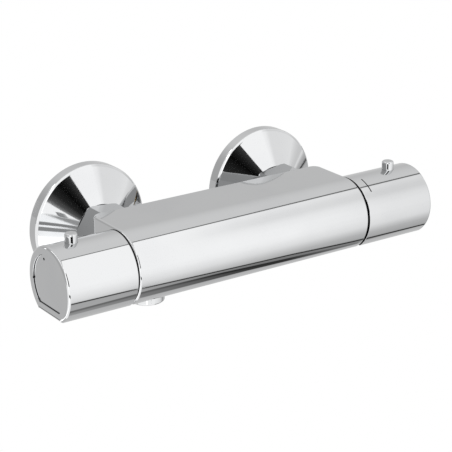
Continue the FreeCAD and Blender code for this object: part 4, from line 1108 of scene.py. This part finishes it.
@dataclass
class TurningHandle(Assembly):
    """One turning handle with its inset end plate and its push button."""

    side: Side
    prefix: str
    body: str
    button_body: str
    length: float
    button_place: float
    marked: bool = False
    radius: float = 26.1 * MM
    flat: float = 21.3 * MM
    corner: float = 1.4 * MM
    end_round: float = 2.2 * MM
    joint_round: float = 0.8 * MM
    hollow: float = 19.2 * MM
    end_wall: float = 5.0 * MM
    cap_inset: float = 5.75 * MM
    cap_recess: float = 0.9 * MM
    cap_thickness: float = 2.0 * MM
    driver_hole: float = 8.0 * MM
    button_radius: float = 4.3 * MM
    button_top: float = 32.4 * MM
    button_round: float = 1.4 * MM
    collar_low: float = 16.0 * MM
    collar_high: float = 18.0 * MM
    collar_radius: float = 5.6 * MM
    stem_radius: float = 1.5 * MM
    stem_low: float = 11.4 * MM
    mark_place: float = 7.15 * MM
    mark_width: float = 0.9 * MM
    mark_depth: float = 0.4 * MM
    mark_from: float = 13.5
    mark_to: float = 43.0
    mark_bare: float = 0.06 * MM
    cap_slack: float = 0.05 * MM
    cap_round: float = 0.15 * MM
    cap_bare: float = 0.03 * MM
    prising_turn: float = 19.7
    prising_inset: float = 3.1 * MM
    prising_radius: float = 0.6 * MM
    lead_radius: float = 0.95 * MM
    lead_depth: float = 0.6 * MM
    button_slack: float = 0.08 * MM
    button_reach: float = 40.0 * MM
    recess_bare: float = 0.45 * MM
    recess_past: float = 0.05 * MM
    recess_out: float = 0.1 * MM
    joint_past: float = 0.1 * MM
    joint_width: float = 0.4 * MM

    @property
    def start(self) -> float:
        """Inner end of the handle."""
        return self.side.value * self.layout.handle_start

    @property
    def end(self) -> float:
        """Outer end of the handle."""
        return self.side.value * (self.layout.handle_start + self.length)

    def flat_bar(self, name: str, radius: float, flat: float, start: float, end: float) -> Workpiece:
        """Round bar with a flat underside.

        Args:
            name: Name of the piece.
            radius: Radius of the bar.
            flat: Distance of the flat below the axis.
            start: First end.
            end: Last end.

        Returns:
            The new piece.
        """
        piece = self.layout.lathe.bar(name, radius, start, end, 2 * BAR_SEGMENTS)
        low = self.layout.bar_z - flat
        piece.slice(Vector((0.0, 0.0, low)), Vector((0.0, 0.0, 1.0)), True, True)
        piece.face_outwards()
        return piece

    def shell(self) -> None:
        """Model the handle shell."""
        low = self.layout.bar_z - self.flat
        shell = self.flat_bar(f"{self.prefix}_handle_shell", self.radius, self.flat, self.start,
                              self.end)
        shell.round_edges(self.end_round, 8, lambda p: abs(p.x - self.end) < NEAR)
        shell.round_edges(self.joint_round, 6, lambda p: abs(p.x - self.start) < NEAR)
        turn = math.acos(self.flat / self.radius)
        shell.round_edges(corner_width(self.corner, turn), 6, lambda p: abs(p.z - low) < NEAR,
                          lengthwise, CREASE)
        out = float(self.side.value)
        hollow_end = self.end - out * self.end_wall
        seat = self.end - out * (self.cap_recess + self.cap_thickness)
        lathe = self.layout.lathe
        tools = [
            lathe.bar("hollow", self.hollow, self.start - out * MM, hollow_end, ROUND_SEGMENTS),
            self.flat_bar("seat", self.radius - self.cap_inset, self.flat - self.cap_inset, seat,
                          self.end + out * MM),
            lathe.bar("driver", self.driver_hole, hollow_end - out * MM, self.end, HOLE_SEGMENTS),
            self.layout.upright(self.button_place).bar(
                "button_hole", self.button_radius + self.button_slack, 0.0, self.button_reach,
                HOLE_SEGMENTS),
        ]
        if self.marked:
            tools.append(self.index_mark())
        shell.cut(*tools)
        shell.shade()
        plating = self.finishes.gapped_plating(
            f"{self.prefix}_shell_chrome", tuple(self.layout.bar), *self.shell_gaps())
        shell.hand_over(plating, self.body, "chrome", f"{self.prefix}_handle")

    def shell_gaps(self) -> List[DarkGap]:
        """Stretches of the shell that are painted dark.

        Returns:
            Painted shade on the recess wall round the end plate and in the joint gap at the body, and
            the index line's darkened floor.
        """
        # Painted shade on the recess wall round the end plate and at the joint gap to the body.
        gaps = [
            self.stretch(self.recess_bare, self.cap_recess + self.recess_past,
                         self.radius - self.cap_inset + self.recess_out),
            self.stretch(self.length - self.joint_width, self.length + self.joint_past,
                         self.radius + MM),
        ]
        if self.marked:
            near = self.start + self.mark_place
            gaps.append(DarkGap(near, near + self.mark_width, self.radius - MM,
                                self.radius - self.mark_bare, 0.0))
        return gaps

    def stretch(self, first: float, last: float, outer: float) -> DarkGap:
        """Stretch that is painted dark as painted shade, counted inwards from the outer end.

        Args:
            first: Start, from the outer end.
            last: End, from the outer end.
            outer: Largest radius.

        Returns:
            The stretch.
        """
        places = sorted((self.end - self.side.value * first, self.end - self.side.value * last))
        return DarkGap(places[0], places[1], 0.0, outer)

    def index_mark(self) -> Workpiece:
        """Curved cutter for the short index line.

        Returns:
            The cutter.
        """
        near = self.layout.handle_start + self.mark_place
        far = near + self.mark_width
        floor = self.radius - self.mark_depth
        top = self.radius + MM
        rings = [(floor, near), (top, near), (top, far), (floor, far), (floor, near)]
        cutter = self.layout.lathe.turned("mark", rings, 2 * BAR_SEGMENTS, True)
        for degrees, keep_front in ((self.mark_from, True), (self.mark_to, False)):
            turn = math.radians(degrees)
            ahead = Vector((0.0, -math.cos(turn), -math.sin(turn)))
            cutter.slice(self.layout.bar, ahead, keep_front, True)
        cutter.face_outwards()
        return cutter

    def end_plate(self) -> None:
        """Model the inset end plate with its small prising hole."""
        out = float(self.side.value)
        front = self.end - out * self.cap_recess
        back = front - out * self.cap_thickness
        radius = self.radius - self.cap_inset - self.cap_slack
        plate = self.flat_bar(f"{self.prefix}_end_plate", radius,
                              self.flat - self.cap_inset - self.cap_slack, back, front)
        plate.round_edges(self.cap_round, 3, lambda p: abs(p.x - front) < NEAR)
        behind = math.radians(self.prising_turn)
        reach = radius - self.prising_inset
        aside = Vector((0.0, reach * math.sin(behind), reach * math.cos(behind)))
        hole = Spindle(self.layout.bar + aside, Axis.BAR)
        plate.cut(
            hole.bar("prising_hole", self.prising_radius, back - out * MM, front + out * MM,
                     PIN_SEGMENTS),
            hole.bar("prising_lead", self.lead_radius, front - out * self.lead_depth, front + out * MM,
                     PIN_SEGMENTS))
        plate.shade()
        # Painted shade on the plate's rim, down inside the shell's recess.
        darkened = self.stretch(self.cap_recess + self.cap_bare, self.cap_recess + self.cap_thickness,
                              self.radius)
        plating = self.finishes.gapped_plating(
            f"{self.prefix}_plate_chrome", tuple(self.layout.bar), darkened)
        plate.hand_over(plating, self.body, "chrome", f"{self.prefix}_end_cap")

    def button(self) -> None:
        """Model the push button."""
        upright = self.layout.upright(self.button_place)
        rings = [
            (self.stem_radius, self.stem_low), (self.stem_radius, self.collar_low),
            (self.collar_radius, self.collar_low), (self.collar_radius, self.collar_high),
            (self.button_radius, self.collar_high), (self.button_radius, self.button_top),
        ]
        button = upright.turned(f"{self.prefix}_push_button", rings, BORE_SEGMENTS)
        button.round_rings([(self.button_radius, self.button_top, self.button_round)], upright, 10)
        button.shade()
        button.hand_over(self.finishes["chrome"], self.button_body, "chrome", f"{self.prefix}_button")

    def build(self) -> None:
        """Model the whole handle."""
        self.shell()
        self.end_plate()
        self.button()


@dataclass
class WallConnection(Assembly):
    """Rosette, union nut and threaded wall union of one inlet."""

    side: Side
    nut_turn: float
    rosette_radius: float = 43.8 * MM
    rosette_rim: float = 9.0 * MM
    rosette_step: float = 1.4 * MM
    rosette_neck: float = 18.8 * MM
    rosette_front: float = 22.38 * MM
    rosette_wall: float = 1.5 * MM
    rosette_round: float = 0.45 * MM
    rosette_slack: float = 0.05 * MM
    neck_round: float = 0.25 * MM
    foot_round: float = 0.2 * MM
    nut_back: float = 23.2 * MM
    nut_front: float = 44.0 * MM
    nut_flats: float = 37.0 * MM
    nut_chamfer: float = 1.2 * MM
    nut_soft: float = 0.35 * MM
    nut_slack: float = 0.08 * MM
    nut_past: float = 0.3 * MM
    lip_place: float = 34.08 * MM
    lip_radius: float = 10.68 * MM
    union_radius: float = 13.2 * MM
    union_start: float = 7.0 * MM
    union_face: float = 29.0 * MM
    wall_radius: float = 10.48 * MM
    wall_root: float = 9.32 * MM
    wall_pitch: float = 1.814 * MM
    thread_start: float = -14.0 * MM
    thread_end: float = 1.2 * MM
    shank_radius: float = 12.6 * MM
    shank_start: float = 2.0 * MM
    shank_end: float = 12.0 * MM
    wall_bore: float = 7.0 * MM
    wall_bore_start: float = -20.0 * MM
    wall_bore_end: float = 10.5 * MM
    front_bore: float = 9.0 * MM
    front_bore_start: float = 8.5 * MM
    front_bore_end: float = 40.0 * MM

    def rosette(self) -> None:
        """Turn the cone-shaped wall rosette."""
        inlet = self.layout.inlet(self.side)
        shoulder = self.rosette_radius - self.rosette_step
        slope = (self.rosette_front - self.rosette_rim) / (shoulder - self.rosette_neck)
        drop = self.rosette_wall * math.sqrt(1.0 + slope ** 2)
        web = self.rosette_front - self.rosette_wall
        web_edge = self.rosette_neck - (drop - self.rosette_wall) / slope
        cavity = self.rosette_radius - self.rosette_wall
        hole = self.union_radius + self.rosette_slack
        step = self.rosette_rim - self.rosette_step
        rings = [
            (self.rosette_radius, 0.0), (self.rosette_radius, step), (shoulder, self.rosette_rim),
            (self.rosette_neck, self.rosette_front), (hole, self.rosette_front), (hole, web),
            (web_edge, web), (cavity, self.rosette_rim - drop + (shoulder - cavity) * slope),
            (cavity, 0.0), (self.rosette_radius, 0.0),
        ]
        cone = inlet.turned(f"{self.side.word}_cone_rosette", rings, CONE_SEGMENTS, True)
        cone.round_rings([
            (self.rosette_radius, step, self.rosette_round),
            (shoulder, self.rosette_rim, self.rosette_round),
            (self.rosette_neck, self.rosette_front, self.neck_round),
            (self.rosette_radius, 0.0, self.foot_round),
        ], inlet, 6)
        cone.shade(34.0)
        cone.hand_over(self.finishes["chrome"], "valve", "chrome", f"{self.side.word}_rosette")

    def union_nut(self) -> None:
        """Model the hexagon union nut with its chamfered corners."""
        inlet = self.layout.inlet(self.side)
        centre = inlet.centre
        corner = self.nut_flats / math.sqrt(3.0)
        nut = inlet.bar(f"{self.side.word}_hexagon_nut", corner, self.nut_back, self.nut_front, 6)
        first = nut.obj.data.vertices[0].co - centre
        now = math.degrees(math.atan2(first.z, first.x))
        turn = math.radians(self.nut_turn - now)
        spin = Matrix.Translation(centre) @ Matrix.Rotation(-turn, 4, "Y") @ Matrix.Translation(-centre)
        nut.obj.data.transform(spin)
        past = self.nut_chamfer + self.nut_past
        blank = inlet.turned("blank", [
            (corner - self.nut_chamfer, self.nut_back), (corner + self.nut_past, self.nut_back + past),
            (corner + self.nut_past, self.nut_front - past), (corner - self.nut_chamfer, self.nut_front),
        ], RING_SEGMENTS)
        nut.combine([blank], "INTERSECT")
        nut.cut(
            inlet.bar("thread_bore", self.union_radius + self.nut_slack, self.nut_back - MM,
                      self.lip_place, BORE_SEGMENTS),
            inlet.bar("lip_bore", self.lip_radius, self.lip_place - MM, self.nut_front + MM,
                      BORE_SEGMENTS))
        nut.round_edges(self.nut_soft, 3, lambda p: True, self._corner, CORNER)
        nut.shade(24.0)
        nut.hand_over(self.finishes["chrome"], "valve", "chrome", f"{self.side.word}_union_nut")

    @staticmethod
    def _corner(direction: Vector) -> bool:
        """True for one of the nut's long corners."""
        return abs(direction.y) > 0.9 * direction.length and direction.length > LONG / 2.0

    def wall_union(self) -> None:
        """Model the eccentric wall union with its outside threads."""
        inlet = self.layout.inlet(self.side)
        wall = Spindle(Vector((inlet.centre.x, 0.0, 0.0)), Axis.ROOM)
        rings: List[Pair] = [(self.wall_radius - MM, self.thread_start)]
        place = self.thread_start + 0.5 * self.wall_pitch
        while place < self.thread_end:
            rings += [(self.wall_radius, place), (self.wall_root, place + 0.5 * self.wall_pitch)]
            place += self.wall_pitch
        rings += [(self.wall_root, self.shank_start), (self.shank_radius, self.shank_start),
                  (self.shank_radius, self.shank_end)]
        union = wall.turned(f"{self.side.word}_threaded_union", rings, BORE_SEGMENTS)
        union.join(inlet.bar("front", self.union_radius, self.union_start, self.union_face,
                             BORE_SEGMENTS))
        union.cut(
            wall.bar("wall_bore", self.wall_bore, self.wall_bore_start, self.wall_bore_end,
                     HOLE_SEGMENTS),
            inlet.bar("front_bore", self.front_bore, self.front_bore_start, self.front_bore_end,
                      HOLE_SEGMENTS))
        union.shade(20.0)
        union.hand_over(self.finishes["brass"], "valve", "brass", f"{self.side.word}_wall_union")

    def build(self) -> None:
        """Model the three pieces."""
        self.rosette()
        self.union_nut()
        self.wall_union()


@dataclass
class HoseOutlet(Assembly):
    """Round outlet bush under the hot end of the body."""

    place_x: float = -75.0 * MM
    radius: float = 12.1 * MM
    bottom: float = -27.4 * MM
    top: float = -17.4 * MM
    edge_round: float = 1.2 * MM
    thread_crest: float = 9.32 * MM
    thread_root: float = 9.75 * MM
    thread_top: float = -20.8 * MM
    relief: float = 9.8 * MM
    relief_top: float = -19.2 * MM
    hole: float = 6.6 * MM
    pitch: float = 1.814 * MM

    def build(self) -> None:
        """Turn the bush with the grooves of its inside thread."""
        upright = self.layout.upright(self.place_x)
        rings = [(self.radius, self.top), (self.radius, self.bottom), (self.thread_root, self.bottom)]
        place = self.bottom + 0.35 * self.pitch
        while place + 0.6 * self.pitch < self.thread_top:
            rings += [(self.thread_crest, place), (self.thread_crest, place + 0.25 * self.pitch),
                      (self.thread_root, place + 0.6 * self.pitch)]
            place += self.pitch
        rings += [(self.relief, self.thread_top), (self.relief, self.relief_top),
                  (self.hole, self.relief_top), (self.hole, self.top), (self.radius, self.top)]
        bush = upright.turned("hose_outlet_bush", rings, RING_SEGMENTS, True)
        bush.round_rings([(self.radius, self.bottom, self.edge_round)], upright, 8)
        bush.shade(30.0)
        bush.hand_over(self.finishes["chrome"], "valve", "chrome", "outlet_bush")


# ---- studio ---------------------------------------------------------------------------


@dataclass(frozen=True)
class Way:
    """Direction that a reflection looks in, by its parts across, into and up the room."""

    STRIP_EDGE = 0.012
    STRIP_FAR = (-0.56, -0.53)

    graph: Graph
    across: Output
    depth: Output
    rise: Output

    def height(self) -> Output:
        """Angle above the front horizon, counted round the long axis.

        Returns:
            Socket with the angle in degrees.
        """
        forward = self.graph.times(self.depth, -1.0)
        return self.graph.math("DEGREES", self.graph.math("ARCTAN2", self.rise, forward))

    def left_strip(self, near: float) -> Output:
        """Narrow strip that runs round the room at the left.

        Args:
            near: Where the strip starts.

        Returns:
            Socket that is 1 on the strip.
        """
        graph = self.graph
        return graph.times(graph.ramp(self.across, near, near - self.STRIP_EDGE),
                           graph.ramp(self.across, *self.STRIP_FAR))

    def gap(self, past: Output, width: Fade, fall: Fade) -> Output:
        """Dark line that is wider to the right.

        Args:
            past: Signed distance from the line.
            width: How the width of the line grows across the room.
            fall: How the light falls towards the line, by the share of its width.

        Returns:
            Socket with the share of light that is left.
        """
        graph = self.graph
        away = graph.math("ABSOLUTE", past)
        return graph.ramp(graph.math("DIVIDE", away, graph.ramp(self.across, *width)), *fall)


@dataclass(frozen=True)
class Flag:
    """Flat black card, upright across the room, that only reflections show."""

    name: str
    centre: Point
    size: Pair
    stops: Stops

    def finish(self, level: float) -> bpy.types.Material:
        """Make the card's black, which grows a little lighter towards its ends.

        Args:
            level: Brightness of the studio.

        Returns:
            The material.
        """
        material, graph, place = bare_material(self.name)
        across = graph.split(place)[0]
        light = graph.add("ShaderNodeEmission")
        graph.link(graph.times(graph.curve(across, self.stops), level), light.inputs["Strength"])
        out = graph.add("ShaderNodeOutputMaterial")
        graph.link(light.outputs[0], out.inputs[0])
        return material

    def hang(self, level: float) -> None:
        """Hang the card.

        Args:
            level: Brightness of the studio.
        """
        clear_selection()
        bpy.ops.mesh.primitive_plane_add(
            size=1.0, location=self.centre, rotation=(math.pi / 2.0, 0.0, 0.0))
        card = bpy.context.active_object
        card.name = self.name
        card.scale = (*self.size, 1.0)
        bpy.ops.object.transform_apply(location=True, rotation=True, scale=True)
        card.data.materials.append(self.finish(level))
        card.visible_camera = False
        card.visible_diffuse = False
        card.visible_shadow = False


@dataclass
class Studio:
    """Pale floor, soft surround, black flags and camera."""

    floor_drop: float = 2.4
    floor_reach: float = 60.0
    floor_grey: float = 0.82
    eye: Point = (-0.601479, -0.928670, 0.388883)
    yaw: float = 0.6093946622523876
    pitch: float = 0.3497602299533979
    focal: float = 1601.7060446534074
    view_width: float = 452.0
    sensor: float = 36.0
    clip: Pair = (0.01, 200.0)
    level: float = 0.897
    key: float = 1.70
    fold: Point = (-0.4006, 0.8792, 0.2587)
    strip_level: float = 3.0
    strip_near: float = -0.448
    strip_middle: float = -0.474
    strip_rear: Fade = (0.68, 0.62)
    strip_back: Fade = (0.838, 0.846)
    strip_floor: Fade = (0.70, 0.62)
    fold_blend: Fade = (0.004, -0.004)
    fold_width: Fade = (0.42, 0.62, 0.020, 0.034)
    fold_gap: Fade = (0.5, 1.1, 0.2, 1.0)
    rear_rise: Fade = (0.3, 0.85, 0.83, 1.10)
    rear_across: Fade = (-0.55, 0.0, 0.80, 1.0)
    front_shade: Fade = (0.50, 0.56, 0.0, 0.17)
    side_fall: Stops = (
        (0.52, 1.0), (0.57, 0.99), (0.60, 0.93), (0.625, 0.87), (0.65, 0.84), (0.95, 0.84), (0.99, 0.62))
    patch_fall: Stops = ((20.0, 0.0), (38.0, 0.3), (55.0, 1.0), (66.0, 1.0), (84.0, 0.6))
    floor_fall: Stops = (
        (0.0, 1.70), (14.0, 1.63), (36.0, 1.36), (50.0, 1.06), (62.0, 0.84), (90.0, 0.62))
    floor_side: Fade = (5.0, 45.0)
    open_across: Fade = (0.38, 0.28)
    open_depth: Fade = (0.1, 0.0)
    open_level: float = 1.6
    gap_line: Stops = (
        (0.40, 46.0), (0.4535, 50.6), (0.4547, 54.5), (0.516, 63.8), (0.568, 71.8), (0.614, 86.0),
        (0.66, 91.0))
    gap_edge: Fade = (-0.5, 0.5)
    gap_width: Fade = (0.54, 0.63, 3.2, 4.8)
    gap_fall: Fade = (0.4, 1.05, 0.10, 1.0)
    gap_tone: Stops = ((0.40, 0.72), (0.45, 0.68), (0.50, 0.48), (0.545, 0.34), (0.64, 0.40))
    band_start: Stops = ((0.40, 69.8), (0.46, 67.5), (0.516, 72.0), (0.57, 85.0), (0.62, 99.0))
    band_end: Stops = (
        (0.40, 89.0), (0.4535, 89.0), (0.4547, 94.0), (0.54, 96.0), (0.60, 106.0), (0.622, 108.0),
        (0.6225, 95.0))
    band_edge: Fade = (-2.0, 2.0)
    band_blend: Fade = (3.0, 12.0)
    band_last: Fade = (-3.0, 3.0)
    past_level: float = 0.80
    band_near: Stops = ((0.40, 0.26), (0.46, 0.20), (0.515, 0.03), (0.57, 0.05), (0.62, 0.30))
    band_far: Stops = ((0.40, 0.50), (0.46, 0.34), (0.54, 0.07), (0.57, 0.05), (0.62, 0.30))
    flags: Tuple[Flag, ...] = (
        Flag("high_flag", (-0.405, -2.3, 1.25), (1.25, 1.9),
             ((-1.03, 0.45), (-0.93, 0.14), (-0.72, 0.03), (-0.35, 0.004), (-0.1, 0.02), (0.22, 0.07))),
        Flag("low_flag", (-0.295, -0.58, -0.185), (0.41, 0.085), ((-0.5, 0.01), (-0.09, 0.01))),
    )

    def camera(self) -> None:
        """Place the camera."""
        data = bpy.data.cameras.new("camera")
        data.sensor_width = self.sensor
        data.sensor_fit = "HORIZONTAL"
        data.lens = self.focal / self.view_width * self.sensor
        data.clip_start, data.clip_end = self.clip
        eye = bpy.data.objects.new("camera", data)
        eye.location = self.eye
        eye.rotation_euler = (math.pi / 2.0 - self.pitch, 0.0, -self.yaw)
        bpy.context.scene.collection.objects.link(eye)
        bpy.context.scene.camera = eye

    def rear_tone(self, way: Way) -> Output:
        """How bright the back of the room is: brighter upwards and to the right, with the left strip.

        Args:
            way: The direction.

        Returns:
            Socket with the strength.
        """
        graph = way.graph
        tone = graph.ramp(way.rise, *self.rear_rise)
        tone = graph.times(tone, graph.ramp(way.across, *self.rear_across))
        low = graph.times(way.left_strip(self.strip_near), graph.ramp(way.depth, *self.strip_rear))
        middle = graph.times(way.left_strip(self.strip_middle), graph.ramp(way.depth, *self.strip_back))
        return graph.mix(graph.math("MAXIMUM", low, middle), tone, self.strip_level)

    def front_tone(self, way: Way) -> Output:
        """How bright the front of the room is: a key light that fades at the sides.

        Args:
            way: The direction.

        Returns:
            Socket with the strength.
        """
        graph = way.graph
        shade = graph.ramp(way.across, *self.front_shade)
        patch = graph.less(1.0, graph.times(shade, graph.curve(way.height(), self.patch_fall)))
        tone = graph.times(graph.times(patch, graph.curve(way.across, self.side_fall)), self.key)
        return graph.mix(way.left_strip(self.strip_near), tone, self.strip_level)

    def floor_tone(self, way: Way) -> Output:
        """How bright the floor looks in reflections: a fall of light, a thin gap and a dark band.

        Args:
            way: The direction.

        Returns:
            Socket with the strength.
        """
        graph = way.graph
        across = way.across
        drop = graph.times(way.height(), -1.0)
        side = graph.mix(graph.ramp(drop, *self.floor_side), graph.curve(across, self.side_fall), 1.0)
        near = graph.times(graph.curve(drop, self.floor_fall), side)
        past, start, end = (graph.less(drop, graph.curve(across, stops))
                            for stops in (self.gap_line, self.band_start, self.band_end))
        band = graph.mix(graph.ramp(start, *self.band_blend), graph.curve(across, self.band_near),
                         graph.curve(across, self.band_far))
        beyond = graph.mix(graph.ramp(start, *self.band_edge), graph.curve(across, self.gap_tone), band)
        beyond = graph.mix(graph.ramp(end, *self.band_last), beyond, self.past_level)
        tone = graph.mix(graph.ramp(past, *self.gap_edge), near, beyond)
        tone = graph.times(tone, way.gap(past, self.gap_width, self.gap_fall))
        open_side = graph.times(graph.ramp(across, *self.open_across),
                                graph.ramp(way.depth, *self.open_depth))
        tone = graph.mix(open_side, tone, self.open_level)
        strip = graph.times(way.left_strip(self.strip_near), graph.ramp(way.depth, *self.strip_floor))
        return graph.mix(strip, tone, self.strip_level)

    def surround(self) -> None:
        """Light the room by its walls and ceiling: a pale back, a bright front and thin dark gaps."""
        world = bpy.data.worlds.new("studio_surround")
        world.use_nodes = True
        bpy.context.scene.world = world
        graph = Graph(world.node_tree)
        vector = graph.add("ShaderNodeTexCoord").outputs["Generated"]
        way = Way(graph, *graph.split(vector))
        fold = graph.dot(vector, self.fold)
        tone = graph.mix(graph.ramp(fold, *self.fold_blend), self.rear_tone(way), self.front_tone(way))
        tone = graph.times(tone, way.gap(fold, self.fold_width, self.fold_gap))
        seen = graph.add("ShaderNodeLightPath").outputs["Is Camera Ray"]
        strength = graph.mix(seen, graph.times(tone, self.level), 1.0)
        background = graph.add("ShaderNodeBackground")
        background.inputs["Color"].default_value = (1.0, 1.0, 1.0, 1.0)
        graph.link(strength, background.inputs["Strength"])
        out = graph.add("ShaderNodeOutputWorld")
        graph.link(background.outputs[0], out.inputs[0])

    def floor_finish(self) -> bpy.types.Material:
        """Make the floor's finish: white to the eye, a soft fall of light for what it reflects.

        Returns:
            The material.
        """
        material, graph, place = bare_material("pale_floor")
        unit = graph.add("ShaderNodeVectorMath", operation="NORMALIZE")
        graph.link(place, unit.inputs[0])
        way = Way(graph, *graph.split(unit.outputs[0]))
        path = graph.add("ShaderNodeLightPath").outputs
        tone = graph.times(self.floor_tone(way), self.level)
        light = graph.add("ShaderNodeEmission")
        graph.link(graph.mix(path["Is Camera Ray"], tone, 1.0), light.inputs["Strength"])
        matt = graph.add("ShaderNodeBsdfDiffuse")
        matt.inputs["Color"].default_value = (self.floor_grey, self.floor_grey, self.floor_grey, 1.0)
        seen = graph.math("MAXIMUM", path["Is Camera Ray"], path["Is Glossy Ray"])
        seen = graph.math("MAXIMUM", seen, path["Is Transmission Ray"])
        mixed = graph.add("ShaderNodeMixShader")
        for end, start in zip(mixed.inputs, (seen, matt.outputs[0], light.outputs[0])):
            graph.link(start, end)
        out = graph.add("ShaderNodeOutputMaterial")
        graph.link(mixed.outputs[0], out.inputs[0])
        return material

    def floor(self) -> None:
        """Lay the pale floor."""
        clear_selection()
        bpy.ops.mesh.primitive_plane_add(
            size=2.0 * self.floor_reach, location=(0.0, 0.0, -self.floor_drop))
        floor = bpy.context.active_object
        floor.name = "studio_floor"
        bpy.ops.object.transform_apply(location=True, rotation=True, scale=True)
        floor.data.materials.append(self.floor_finish())

    def build(self) -> None:
        """Set up the studio."""
        self.camera()
        self.surround()
        self.floor()
        for flag in self.flags:
            flag.hang(self.level)
        view = bpy.context.scene.view_settings
        view.view_transform = "Standard"


# ---- assembly -------------------------------------------------------------------------


def main() -> None:
    """Build every piece, then the studio."""
    layout = Layout()
    finishes = Finishes()
    finishes.dress_nodes(frame["record"])
    assemblies = [
        BodyCasting(layout, finishes),
        TurningHandle(layout, finishes, Side.HOT, "flow", "flow_control", "flow_button_body",
                      52.8 * MM, -131.5 * MM),
        TurningHandle(layout, finishes, Side.COLD, "temp", "temperature_control",
                      "temperature_button_body", 58.8 * MM, 134.1 * MM, True),
        WallConnection(layout, finishes, Side.HOT, -4.0),
        WallConnection(layout, finishes, Side.COLD, 9.5),
        HoseOutlet(layout, finishes),
    ]
    for assembly in assemblies:
        assembly.build()
    Studio().build()
    clear_selection()


if __name__ == "__main__":
    main()
